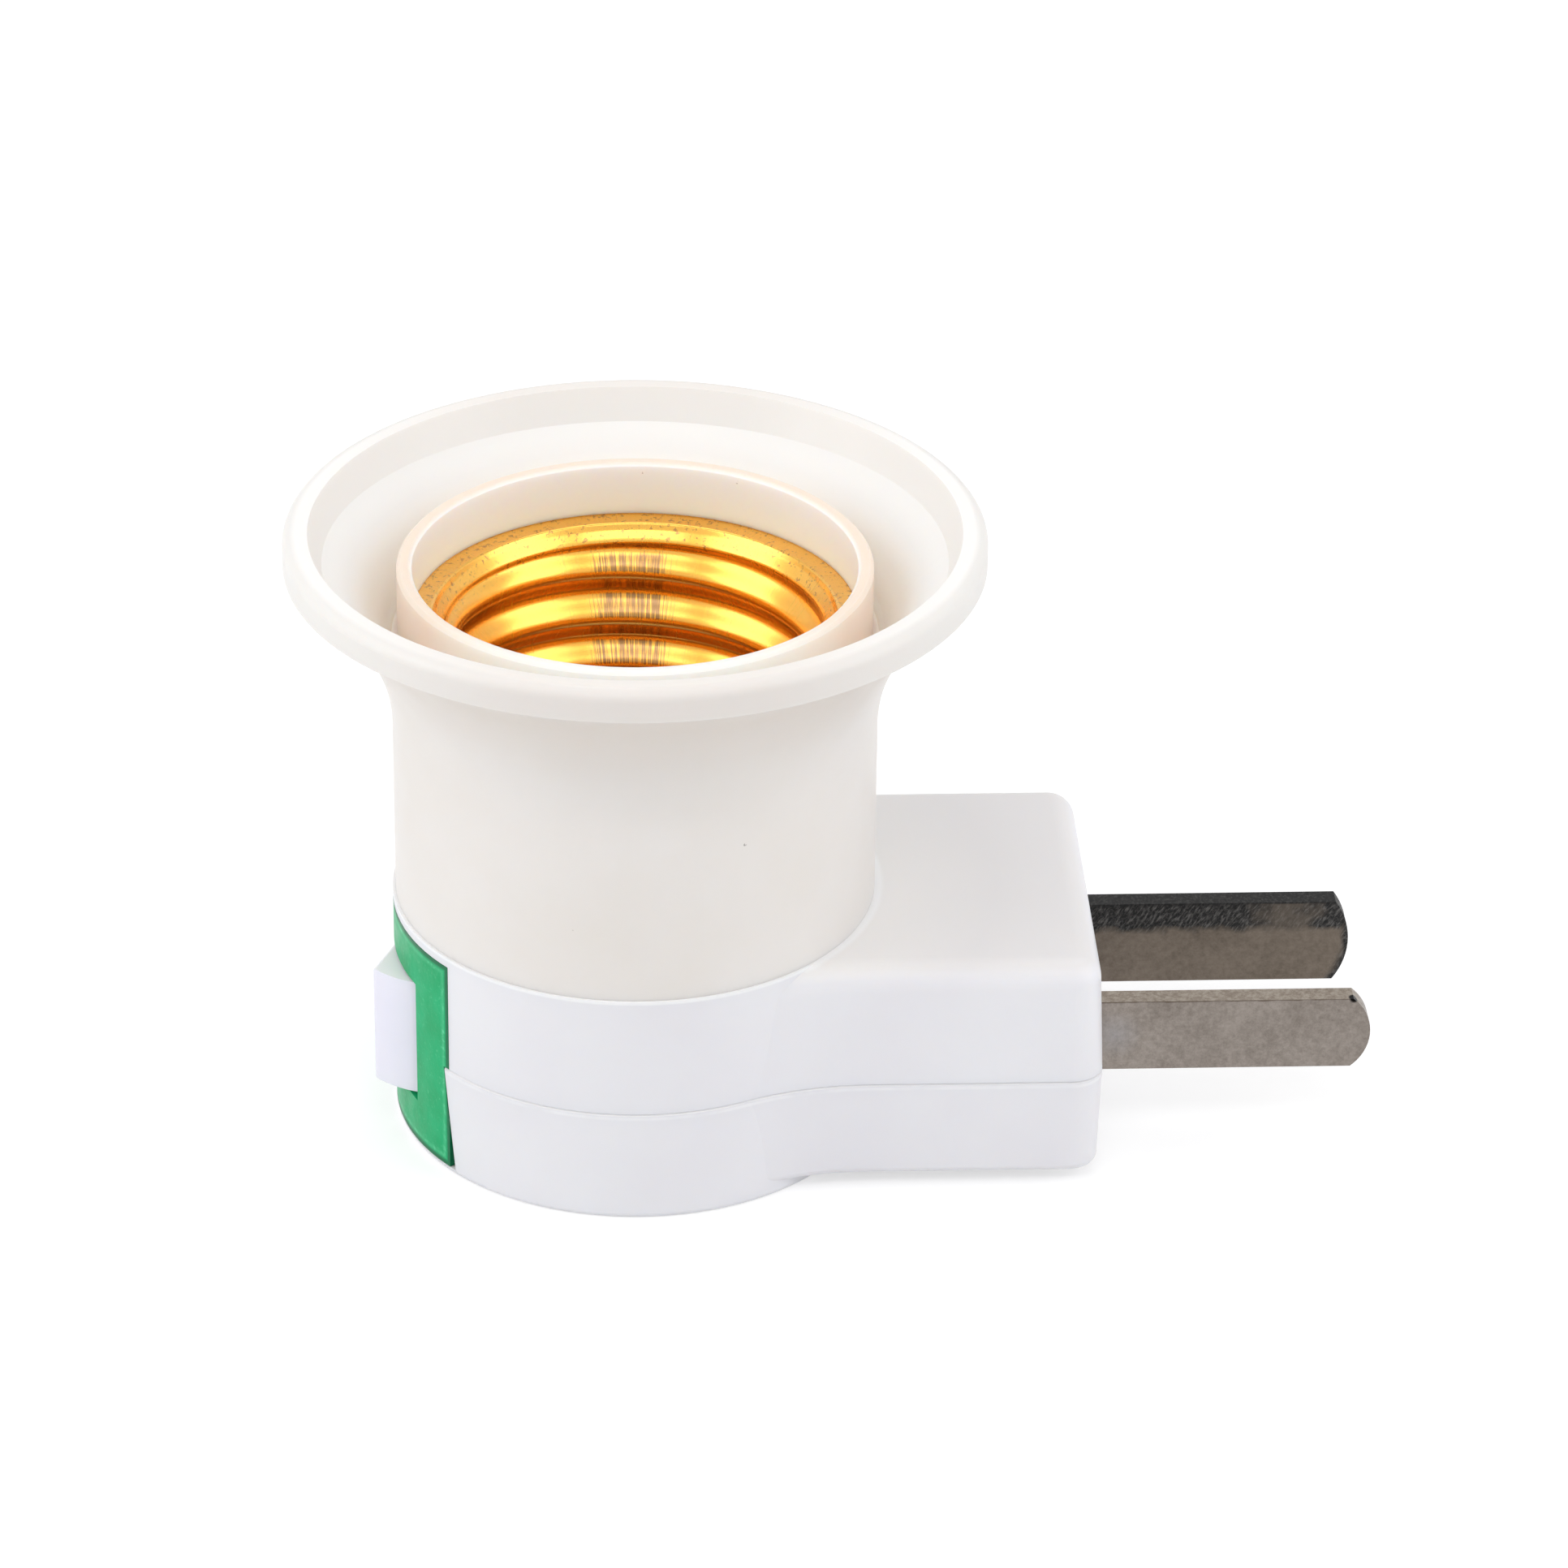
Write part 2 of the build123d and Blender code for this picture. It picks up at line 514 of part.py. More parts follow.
def socket_body():
    """Tube, trumpet, lip and mouth ring, one moulding turned about the lamp axis."""
    centre = (TUBE_R + TRUMPET_R, FLARE_START)
    inner_r = TRUMPET_R + TRUMPET_WALL

    def on_trumpet(radius, turn):
        return (centre[0] - radius * cos(radians(turn)), centre[1] + radius * sin(radians(turn)))

    def at_height(radius, z):
        return centre[0] - sqrt(radius ** 2 - (z - centre[1]) ** 2), z

    trumpet_end = on_trumpet(TRUMPET_R, TRUMPET_TURN)
    run = LIP_R - trumpet_end[0]
    lip_low = (LIP_R, trumpet_end[1] + run / tan(radians(TRUMPET_TURN)))
    lip_high = (LIP_R, LIP_TOP - LIP_ROUND)
    lip_top = (LIP_R - LIP_ROUND, LIP_TOP)
    lip_in = (LIP_R - LIP_ROUND - LIP_BAND, LIP_TOP)
    band_foot = at_height(inner_r, LIP_TOP - LIP_BAND_DROP)
    groove_out = at_height(inner_r, GROOVE_Z + GROOVE_RISE)
    ledge_z = RIM_Z - LEDGE_H

    def point(p):
        return (p[0], 0, p[1])

    def arc(a, middle, b):
        return ThreePointArc(point(a), point(middle), point(b))

    round_mid = (lip_top[0] + LIP_ROUND * sin(radians(45)), lip_high[1] + LIP_ROUND * sin(radians(45)))
    inner_mid = at_height(inner_r, (band_foot[1] + groove_out[1]) / 2)
    edges = [
        Line(point((BORE_R, BASE_H)), point((TUBE_R, BASE_H))),
        Line(point((TUBE_R, BASE_H)), point((TUBE_R, FLARE_START))),
        arc((TUBE_R, FLARE_START), on_trumpet(TRUMPET_R, TRUMPET_TURN / 2), trumpet_end),
        Line(point(trumpet_end), point(lip_low)),
        Line(point(lip_low), point(lip_high)),
        arc(lip_high, round_mid, lip_top),
        Line(point(lip_top), point(lip_in)),
        Line(point(lip_in), point(band_foot)),
        arc(band_foot, inner_mid, groove_out),
    ]
    inside = [
        groove_out,
        (RING_R + GROOVE_FLAT, GROOVE_Z),
        (RING_R, GROOVE_Z),
        (RING_R, RING_TOP - RING_EDGE),
        (RING_R - RING_EDGE, RING_TOP),
        (BORE_R + RING_EDGE, RING_TOP),
        (BORE_R, RING_TOP - RING_EDGE),
        (BORE_R, RIM_TOP + CLEAR),
        (RIM_SEAT_R, RIM_TOP + CLEAR),
        (RIM_SEAT_R, RIM_Z),
        (LEDGE_R, RIM_Z),
        (LEDGE_R, ledge_z),
        (BORE_R, ledge_z - (BORE_R - LEDGE_R)),
        (BORE_R, BASE_H),
    ]
    edges += [Line(point(a), point(b)) for a, b in zip(inside, inside[1:])]
    return revolve(make_face(edges), Axis.Z)


def thread_profile(major, minor):
    """Section of the thread's ridge: a round crest between two hollow feet."""
    half = PITCH / 2 - THREAD_LAND
    base = minor - SHEET
    foot = minor - THREAD_SINK
    rise = (major - foot) / 2
    curve = (rise ** 2 + (half / 2) ** 2) / (2 * rise)
    turn = atan2(rise, half / 2)
    sag, along = curve * (1 - cos(turn)), curve * sin(turn)

    def point(radius, z):
        return (radius, 0, z)

    low_flank, high_flank = point(foot + rise, -half / 2), point(foot + rise, half / 2)
    crest = point(major, 0)
    return make_face([
        Line(point(base, half), point(base, -half)),
        Line(point(base, -half), point(foot, -half)),
        ThreePointArc(point(foot, -half), point(foot + sag, along - half), low_flank),
        ThreePointArc(low_flank, point(major - sag, -along), crest),
        ThreePointArc(crest, point(major - sag, along), high_flank),
        ThreePointArc(high_flank, point(foot + sag, half - along), point(foot, half)),
        Line(point(foot, half), point(base, half)),
    ])


def threaded_core(gain, bottom, top):
    """Round core with the knuckle thread wound on it between two heights."""
    major, minor = THREAD_MAJOR + gain, THREAD_MINOR + gain
    start = INSULATOR_TOP - CREST_DROP
    path = Helix(PITCH, top + PITCH - start, minor)
    ridge = sweep(thread_profile(major, minor), path=path, is_frenet=True)
    ridge = Pos(0, 0, start) * ridge
    ridge -= rod(LIP_R, start - PITCH, bottom)
    ridge -= rod(LIP_R, top, top + 3 * PITCH)
    return rod(minor, INSULATOR_TOP, RIM_TOP) + ridge


def funnel(gain, bottom):
    """Cone that widens from the thread to the rim, and its way through the rim."""
    low = (Align.CENTER, Align.CENTER, Align.MIN)
    cone = Cone(FUNNEL_FOOT_R + gain, FUNNEL_R + gain, RIM_Z - bottom, align=low)
    return Pos(0, 0, bottom) * cone + rod(FUNNEL_R + gain, RIM_Z, RIM_TOP)


def screw_shell():
    """Rolled screw shell: thread, funnel and flat rim above, foot with two lugs below."""
    low = INSULATOR_TOP + FOOT_H
    high = RIM_Z - FUNNEL_H
    outside = threaded_core(SHEET, low, high + SHEET) + funnel(SHEET, high - SHEET)
    outside += rod(RIM_R, RIM_Z, RIM_TOP)
    inside = threaded_core(0, low + SHEET, high + SHEET) + funnel(0, high)
    foot = rod(THREAD_MINOR + SHEET / 2, INSULATOR_TOP, LUG_TOP)
    lugs = block(-LUG_W / 2, LUG_W / 2, -FOOT_IN - SHEET, FOOT_IN + SHEET, INSULATOR_TOP, LUG_TOP)
    hole = rod(FOOT_IN, INSULATOR_TOP, LUG_TOP) - (lugs - rod(LUG_IN, INSULATOR_TOP, LUG_TOP))
    shell = (outside - inside) + (foot - hole)
    for y in (-SHELL_SCREW_AT, SHELL_SCREW_AT):
        shell -= rod(SHELL_SCREW_R + CLEAR, INSULATOR_TOP, LUG_TOP, 0, y)
    return shell


def contact_insulator():
    disc = rod(INSULATOR_R, BASE_H, INSULATOR_TOP)
    for y in (-SHELL_SCREW_AT, SHELL_SCREW_AT):
        disc -= rod(SHELL_SCREW_R + CLEAR, BASE_H, INSULATOR_TOP, 0, y)
    disc -= leg_slot(BASE_H, INSULATOR_TOP)
    disc -= rod(RIVET_SHANK_R + FIT, BASE_H, INSULATOR_TOP, LEAF_RIVET_X)
    disc -= rod(RIVET_HEAD_R + CLEAR, BASE_H, BASE_H + RIVET_HEAD_H + CLEAR, LEAF_RIVET_X)
    return disc


def centre_contact():
    """Spring leaf: a leg through the base, a flat foot and a sprung crown."""
    foot_z = INSULATOR_TOP
    crown = foot_z + LEAF_RISE
    shoulder = crown - LEAF_CROWN_SAG
    points = [
        (LEAF_LEG_X + LEAF, BASE_H - LEG_DEPTH),
        (LEAF_LEG_X + LEAF, foot_z + LEAF),
        (LEAF_FOOT_X, foot_z + LEAF),
        (LEAF_CROWN_X + LEAF_CROWN_HALF, shoulder),
        (LEAF_CROWN_X, crown),
        (LEAF_CROWN_X - LEAF_CROWN_HALF, shoulder),
        (LEAF_CROWN_X - LEAF_CROWN_HALF - LEAF_LIP_X, shoulder - LEAF_LIP_Z),
    ]
    leaf = strip(points, LEAF, LEAF_W)
    return leaf - rod(RIVET_SHANK_R + FIT, foot_z, foot_z + LEAF, LEAF_RIVET_X)


def centre_contact_rivet():
    foot_z = INSULATOR_TOP
    shank = rod(RIVET_SHANK_R, BASE_H + FIT, foot_z + LEAF + FIT, LEAF_RIVET_X)
    head = rod(RIVET_HEAD_R, foot_z + LEAF, foot_z + LEAF + RIVET_HEAD_H, LEAF_RIVET_X)
    head = chamfer(head.edges().group_by(Axis.Z)[-1], HEAD_EDGE)
    clinch = rod(RIVET_HEAD_R, BASE_H + FIT, BASE_H + RIVET_HEAD_H, LEAF_RIVET_X)
    return shank + head + clinch


def shell_screws():
    screws = Part()
    for y in (-SHELL_SCREW_AT, SHELL_SCREW_AT):
        top = LUG_TOP + SHELL_SCREW_HEAD_H
        head = rod(SHELL_SCREW_HEAD_R, LUG_TOP, top, 0, y)
        head = chamfer(head.edges().group_by(Axis.Z)[-1], HEAD_EDGE)
        screw = head + rod(SHELL_SCREW_R, LUG_TOP - SHELL_SCREW_LENGTH, LUG_TOP + FIT, 0, y)
        reach = SHELL_SCREW_HEAD_R + FIT
        screw -= block(-reach, reach, y - SLOT_W / 2, y + SLOT_W / 2, top - SLOT_D, top)
        screws += screw
    return screws


def shell_terminal():
    """Plate tapped for one of the shell's screws, with a tab bent down for the lead."""
    inner = LEAD_Y + LEAD_R + FIT
    plate = block(-TERMINAL_HALF, TERMINAL_HALF, inner, SHELL_SCREW_AT + TERMINAL_OUT,
                  TERMINAL_TOP - PLATE_T, TERMINAL_TOP)
    tab = block(-TAB_HALF, TAB_HALF, inner, inner + PLATE_T, TERMINAL_TOP - TAB_DROP, TERMINAL_TOP)
    hole = rod(SHELL_SCREW_R + FIT / 2, SEAM_Z, BASE_H, 0, SHELL_SCREW_AT)
    return plate + tab - hole


# Plug

def blade(y, width, tip_r):
    """Flat blade with a rounded tip and notches that the rib holds."""
    tip_x = BLADE_TIP - tip_r
    flat = block(BLADE_ROOT, BLADE_TIP, y - BLADE_T / 2, y + BLADE_T / 2,
                 SEAM_Z - width / 2, SEAM_Z + width / 2)
    nose = Pos(tip_x, y, SEAM_Z) * Rot(90, 0, 0) * Cylinder(tip_r, BLADE_T)
    body = block(BLADE_ROOT, tip_x, y - BLADE_T, y + BLADE_T, 0, BASE_H)
    shape = flat & (nose + body)
    for side in (-1, 1):
        edge = SEAM_Z + side * (width / 2)
        shape -= block(RIB_X - FIT, RIB_X + RIB_T + FIT, y - BLADE_T, y + BLADE_T,
                       min(edge, edge - side * BLADE_NOTCH), max(edge, edge - side * BLADE_NOTCH))
    return shape


# Switch

def opening(inner_x, outer_x):
    """Room for the rocker."""
    return block(outer_x, inner_x, -WELL_HALF, WELL_HALF, OPENING_LOW, OPENING_HIGH)


def switch_bezel():
    """Curved plate flush with the base, with side flanges and the rocker's well."""
    plate = sector(PLATE_INSIDE - FIT, BASE_R, BEZEL_HALF_ANGLE, BEZEL_BOTTOM + FIT,
                   BEZEL_TOP - FIT)
    plate -= edge_lap(PLATE_INSIDE - CLEAR, CLEAR)
    low, high = FLOOR + CLEAR, ROOF_UNDER - CLEAR
    flange_r = PLATE_INSIDE - CLEAR
    flange_in = flange_r - BEZEL_FLANGE_T
    plate += sector(flange_in, flange_r, BEZEL_HALF_ANGLE + BEZEL_FLANGE, low, high)
    plate += sector(flange_in, PLATE_INSIDE, BEZEL_HALF_ANGLE - BEZEL_JOINED, low, high)
    wall_end = ROCKER_PIVOT_X + WELL_DEPTH
    well = block(-PLATE_INSIDE, wall_end, -WELL_HALF - WELL_WALL, WELL_HALF + WELL_WALL,
                 OPENING_LOW - WELL_WALL, OPENING_HIGH + WELL_WALL)
    plate += well & rod(PLATE_INSIDE, 0, BASE_H)
    plate -= opening(wall_end + 1, -BASE_R - 1)
    low, high = OPENING_LOW - WELL_WALL - 1, OPENING_HIGH + WELL_WALL + 1
    return plate - rod(PIVOT_R + FIT, low, high, ROCKER_PIVOT_X)


def at_rest(shape):
    """Turns what rides on the rocker from its middle place to its rest."""
    pivot = Pos(ROCKER_PIVOT_X, 0, 0)
    return pivot * Rot(0, 0, -ROCKER_TILT) * shape


def rocker_outline(end_r, middle, back):
    """Plan of the rocker about its pivot, with its hollow face towards -X."""
    slope = tan(radians(ROCKER_TILT))
    a, b, c = 1 + slope ** 2, 2 * middle * slope, middle ** 2 - end_r ** 2
    side = (-b + sqrt(b * b - 4 * a * c)) / (2 * a)
    out = -(middle + slope * side)
    foot = sqrt(end_r ** 2 - back ** 2)
    near = ThreePointArc((out, -side), (0, -end_r), (back, -foot))
    far = ThreePointArc((out, side), (0, end_r), (back, foot))
    return make_face([
        Line((-middle, 0), (out, -side)),
        near,
        Line((back, -foot), (back, foot)),
        far,
        Line((out, side), (-middle, 0)),
    ])


def switch_rocker():
    """Rocker with a hollow face, round ends, pivot stubs and a bore for the plunger."""
    low = ROCKER_Z - ROCKER_H / 2
    outline = rocker_outline(ROCKER_R, ROCKER_CENTRE, ROCKER_DEPTH)
    body = extrude(Pos(0, 0, low) * outline, ROCKER_H, dir=(0, 0, 1))
    faces_out = [e for e in body.edges() if e.center().X < -ROCKER_CENTRE * 0.99
                 and not abs(e.center().Y) < 0.01]
    body = fillet(faces_out, ROCKER_EDGE_R)
    hollow = rocker_outline(ROCKER_R - ROCKER_WALL, ROCKER_CENTRE - ROCKER_WALL, ROCKER_DEPTH)
    body -= extrude(Pos(0, 0, low + ROCKER_WALL) * hollow, ROCKER_H - 2 * ROCKER_WALL,
                    dir=(0, 0, 1))
    boss_end = -ROCKER_CENTRE + ROCKER_WALL / 2
    boss = along_x(PLUNGER_R + CLEAR + BORE_BOSS_WALL, boss_end, BORE_BOSS_DEPTH)
    body += boss
    body -= along_x(PLUNGER_R + CLEAR, -BORE_TOP, BORE_BOSS_DEPTH + 1)
    high = low + ROCKER_H
    body += rod(PIVOT_R, OPENING_LOW - WELL_WALL, low + FIT)
    body += rod(PIVOT_R, high - FIT, OPENING_HIGH + WELL_WALL)
    return at_rest(body)


def along_x(radius, start, end):
    """Round bar along X at the rocker's mid height."""
    low = (Align.CENTER, Align.CENTER, Align.MIN)
    return Pos(start, 0, ROCKER_Z) * Rot(0, 90, 0) * Cylinder(radius, end - start, align=low)


def switch_plunger():
    """Cup that holds the spring, with a round nose."""
    shoulder = PLUNGER_REACH - PLUNGER_NECK
    cup = along_x(PLUNGER_R, PLUNGER_TOP, shoulder)
    cup += along_x(PLUNGER_TIP_R, shoulder - FIT, PLUNGER_REACH)
    cup += Pos(PLUNGER_REACH, 0, ROCKER_Z) * Sphere(PLUNGER_TIP_R)
    cup -= along_x(spring_room(), PLUNGER_TOP, shoulder - SHEET)
    return at_rest(cup)


def spring_room():
    """Inside radius of the plunger's cup."""
    return PLUNGER_R - PLUNGER_WALL


def plunger_spring():
    """Compression spring from the end of the bore to the bottom of the cup.

    Its fine wire is six-sided, which keeps the hidden coil light.
    """
    start = -BORE_TOP + SPRING_WIRE_R + FIT
    end = PLUNGER_REACH - PLUNGER_NECK - SHEET - SPRING_WIRE_R - FIT
    radius = spring_room() - CLEAR - SPRING_WIRE_R
    path = Helix((end - start) / SPRING_TURNS, end - start, radius)
    wire = Plane(origin=path @ 0, z_dir=path % 0) * RegularPolygon(SPRING_WIRE_R, 6)
    coil = sweep(wire, path=path, is_frenet=True)
    return at_rest(Pos(start, 0, ROCKER_Z) * Rot(0, 90, 0) * coil)


def seesaw_at_rest(shape):
    return Pos(SEESAW_X, 0, 0) * Rot(0, 0, SEESAW_TILT) * shape


def moving_contact():
    """See-saw plate with a round knuckle at its back."""
    half = SEESAW_H / 2
    plate = block(-SEESAW_STAND - SEESAW_T, -SEESAW_STAND, -SEESAW_HALF, SEESAW_HALF,
                  ROCKER_Z - half, ROCKER_Z + half)
    knuckle = rod(SEESAW_KNUCKLE_R, ROCKER_Z - half, ROCKER_Z + half)
    knuckle &= block(-SEESAW_STAND - SEESAW_T, SEESAW_KNUCKLE_R, -SEESAW_KNUCKLE_R,
                     SEESAW_KNUCKLE_R, ROCKER_Z - half, ROCKER_Z + half)
    plate += knuckle
    shank = Pos(-SEESAW_STAND - SEESAW_T, TIP_AT, ROCKER_Z) * Rot(0, 90, 0)
    low = (Align.CENTER, Align.CENTER, Align.MIN)
    plate -= shank * Cylinder(TIP_R / 2 + FIT / 2, SEESAW_T, align=low)
    return seesaw_at_rest(plate)


def moving_contact_tip():
    """Silver rivet through the see-saw's switching end."""
    low = (Align.CENTER, Align.CENTER, Align.MIN)
    back = Pos(-SEESAW_STAND - SEESAW_T, TIP_AT, ROCKER_Z) * Rot(0, 90, 0)
    front = Pos(-SEESAW_STAND, TIP_AT, ROCKER_Z) * Rot(0, 90, 0)
    tip = back * Cylinder(TIP_R / 2, SEESAW_T + FIT, align=low)
    tip += front * Cylinder(TIP_R, TIP_T, align=low)
    return seesaw_at_rest(tip)


def fixed_contact_tip():
    """Silver rivet on the output terminal, tilted to meet the moving tip flat."""
    turn = radians(SEESAW_TILT)
    across = (TIP_T - SEESAW_STAND + CONTACT_GAP)
    x = SEESAW_X + across * cos(turn) + TIP_AT * sin(turn)
    y = -across * sin(turn) + TIP_AT * cos(turn)
    low = (Align.CENTER, Align.CENTER, Align.MIN)
    face = Pos(x, y, ROCKER_Z) * Rot(0, 0, -SEESAW_TILT) * Rot(0, 90, 0)
    head = face * Cylinder(TIP_R, PLATE_X - x + TIP_R, align=low)
    head &= block(x - TIP_R, PLATE_X, y - 2 * TIP_R, y + 2 * TIP_R, 0, BASE_H)
    shank = Pos(PLATE_X - FIT, y, ROCKER_Z) * Rot(0, 90, 0)
    return head + shank * Cylinder(TIP_R / 2, PLATE_T + FIT, align=low)


def common_terminal():
    """Plate with a saddle that the see-saw rocks in."""
    plate = block(PLATE_X, PLATE_X + PLATE_T, COMMON_FROM, COMMON_TO, PLATE_BOTTOM, PLATE_TOP)
    half = SADDLE_H / 2
    plate += block(SEESAW_X + CLEAR, PLATE_X + FIT, -SADDLE_HALF, SADDLE_HALF,
                   ROCKER_Z - half, ROCKER_Z + half)
    return plate - rod(SEESAW_KNUCKLE_R + FIT, 0, BASE_H, SEESAW_X)


def output_terminal():
    plate = block(PLATE_X, PLATE_X + PLATE_T, OUTPUT_FROM, OUTPUT_TO, PLATE_BOTTOM, PLATE_TOP)
    turn = radians(SEESAW_TILT)
    y = -(TIP_T - SEESAW_STAND + CONTACT_GAP) * sin(turn) + TIP_AT * cos(turn)
    low = (Align.CENTER, Align.CENTER, Align.MIN)
    shank = Pos(PLATE_X, y, ROCKER_Z) * Rot(0, 90, 0)
    return plate - shank * Cylinder(TIP_R / 2 + FIT / 2, PLATE_T, align=low)


# Leads

def live_lead():
    """Live blade to common terminal."""
    end = PLATE_X + PLATE_T + FIT
    return lead([
        (RIB_X - SLACK, -LEAD_Y, SEAM_Z),
        (LEAD_LEVEL_X, -LEAD_Y, SEAM_Z),
        (LEAD_RUN_X, -LEAD_Y, LEAD_LOW),
        (end, -LEAD_Y, LEAD_LOW),
    ])


def neutral_lead():
    """Neutral blade to the shell's terminal."""
    high = TERMINAL_TOP - TAB_DROP + TAB_SOLDER
    return lead([
        (-TAB_HALF + SLACK, LEAD_Y, high),
        (LEAD_RUN_X, LEAD_Y, high),
        (LEAD_LEVEL_X, LEAD_Y, SEAM_Z),
        (RIB_X - SLACK, LEAD_Y, SEAM_Z),
    ])


def switched_lead():
    """Output terminal to the centre contact's leg."""
    start = PLATE_X + PLATE_T + FIT
    stand = LEAF_LEG_X - LEAD_R - FIT
    y = OUTPUT_TO - LEAD_R - SLACK
    return lead([
        (start, y, SWITCHED_Z),
        (SWITCHED_TURN_X, y, SWITCHED_Z),
        (stand, 0, SWITCHED_Z),
        (stand, 0, BASE_H - LEG_DEPTH + LEG_SOLDER),
    ])


def build():
    return {
        "socket_body": socket_body(),
        "screw_shell": screw_shell(),
        "contact_insulator": contact_insulator(),
        "centre_contact": centre_contact(),
        "centre_contact_rivet": centre_contact_rivet(),
        "shell_screws": shell_screws(),
        "shell_terminal": shell_terminal(),
        "upper_housing": upper_housing(),
        "lower_housing": lower_housing(),
        "housing_screws": housing_screws(),
        "switch_bezel": switch_bezel(),
        "switch_rocker": switch_rocker(),
        "switch_plunger": switch_plunger(),
        "plunger_spring": plunger_spring(),
        "moving_contact": moving_contact(),
        "moving_contact_tip": moving_contact_tip(),
        "common_terminal": common_terminal(),
        "output_terminal": output_terminal(),
        "fixed_contact_tip": fixed_contact_tip(),
        "live_blade": blade(-BLADE_Y, LIVE_W, LIVE_TIP_R),
        "neutral_blade": blade(BLADE_Y, NEUTRAL_W, NEUTRAL_TIP_R),
        "live_lead": live_lead(),
        "neutral_lead": neutral_lead(),
        "switched_lead": switched_lead(),
    }


os.makedirs("parts", exist_ok=True)
for name, shape in build().items():
    export_step(shape, f"parts/{name}.step")
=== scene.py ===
import bmesh
import bpy
from math import acos, asin, cos, pi, radians, sin
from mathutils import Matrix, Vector
from mathutils.geometry import tessellate_polygon


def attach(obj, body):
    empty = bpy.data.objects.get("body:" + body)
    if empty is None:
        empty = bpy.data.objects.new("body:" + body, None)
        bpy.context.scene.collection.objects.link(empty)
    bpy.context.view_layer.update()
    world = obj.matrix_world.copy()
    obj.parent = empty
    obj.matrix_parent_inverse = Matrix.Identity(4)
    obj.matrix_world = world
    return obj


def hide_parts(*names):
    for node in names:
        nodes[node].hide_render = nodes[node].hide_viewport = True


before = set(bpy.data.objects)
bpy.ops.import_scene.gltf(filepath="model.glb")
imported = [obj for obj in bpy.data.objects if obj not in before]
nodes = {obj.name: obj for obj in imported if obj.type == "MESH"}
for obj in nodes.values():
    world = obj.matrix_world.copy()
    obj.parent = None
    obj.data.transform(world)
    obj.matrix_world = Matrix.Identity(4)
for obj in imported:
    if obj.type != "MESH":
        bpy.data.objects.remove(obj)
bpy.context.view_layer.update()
scene = bpy.context.scene
MM = 0.001


def linear(r, g, b):
    """Scene colour from 0 to 255 display values."""
    out = []
    for value in (r, g, b):
        c = value / 255
        out.append(c / 12.92 if c <= 0.04045 else ((c + 0.055) / 1.055) ** 2.4)
    return (*out, 1.0)


class Graph:
    """Adds and joins the nodes of one shader."""

    def __init__(self, tree):
        self.tree = tree
        tree.nodes.clear()

    def add(self, kind, **inputs):
        node = self.tree.nodes.new("ShaderNode" + kind)
        for key, value in inputs.items():
            self.put(node, key, value)
        return node

    def put(self, node, key, value):
        socket = node.inputs[key]
        if isinstance(value, bpy.types.NodeSocket):
            self.tree.links.new(value, socket)
        else:
            socket.default_value = value

    def math(self, operation, a, b=0.0):
        node = self.add("Math")
        node.operation = operation
        self.put(node, 0, a)
        self.put(node, 1, b)
        return node.outputs[0]

    def times(self, a, b):
        return self.math("MULTIPLY", a, b)

    def vector(self, operation, a, b=None):
        """Vector sum, a vector made one long, or a vector times a plain number."""
        node = self.add("VectorMath")
        node.operation = operation
        self.put(node, 0, a)
        if b is not None:
            self.put(node, "Scale" if operation == "SCALE" else 1, b)
        return node.outputs[0]

    def distance(self, a, b):
        node = self.add("VectorMath")
        node.operation = "DISTANCE"
        self.put(node, 0, a)
        self.put(node, 1, b)
        return node.outputs["Value"]

    def mix(self, factor, a, b):
        node = self.add("Mix")
        node.data_type = "RGBA"
        self.put(node, 0, factor)
        self.put(node, 6, a)
        self.put(node, 7, b)
        return node.outputs[2]

    def span(self, value, low, high, to_low=0.0, to_high=1.0):
        """Value from low to high, drawn to the range to_low to to_high and held outside."""
        node = self.add("MapRange")
        for key, v in enumerate((value, low, high, to_low, to_high)):
            self.put(node, key, v)
        return node.outputs[0]

    def rise(self, value, low, high):
        """0 up to low and 1 from high on, in millimetres."""
        return self.span(value, low * MM, high * MM)

    def fall(self, value, low, high):
        """1 up to low and 0 from high on, in millimetres."""
        return self.span(value, low * MM, high * MM, 1.0, 0.0)

    def place(self, scale=(1, 1, 1)):
        """Object coordinates, in metres in the row frame, stretched by scale."""
        where = self.add("TexCoord").outputs["Object"]
        return self.add("Mapping", Vector=where, Scale=scale).outputs[0]

    def noise(self, scale, detail=3.0, vector=None, rough=0.5):
        vector = vector or self.place()
        node = self.add("TexNoise", Vector=vector, Scale=scale, Detail=detail, Roughness=rough)
        return node.outputs["Fac"]

    def split(self, vector):
        return self.add("SeparateXYZ", Vector=vector).outputs

    def radius_and_height(self):
        """Distance from the lamp axis, and height, in metres."""
        x, y, z = self.split(self.place())
        square = self.math("ADD", self.times(x, x), self.times(y, y))
        return self.math("SQRT", square), z

    def facing(self):
        """Which way the surface faces, in the row frame."""
        return self.split(self.add("TexCoord").outputs["Normal"])

    def near(self, point, radius, soft=0.5):
        """1 inside a ball of that radius about a point, in millimetres, fading at its edge."""
        away = self.distance(self.place(), [c * MM for c in point])
        return self.fall(away, radius * (1 - soft), radius)

    def bump(self, height, strength, distance, normal=None):
        node = self.add("Bump", Height=height, Strength=strength, Distance=distance)
        if normal is not None:
            self.put(node, "Normal", normal)
        return node.outputs[0]


# Camera, lights, floor

# Camera, solved from the outlines in the photo
TARGET = (0, 0, 24.74 * MM)
CAMERA_DISTANCE = 450 * MM
CAMERA_ELEVATION = radians(28.8)
CAMERA_AZIMUTH = radians(-1.5)
SENSOR_WIDTH = 36
LENS = 150.1
PHOTO_WIDTH = 1932
AXIS_COLUMN = 782.5        # column of the photo where the lamp axis stands

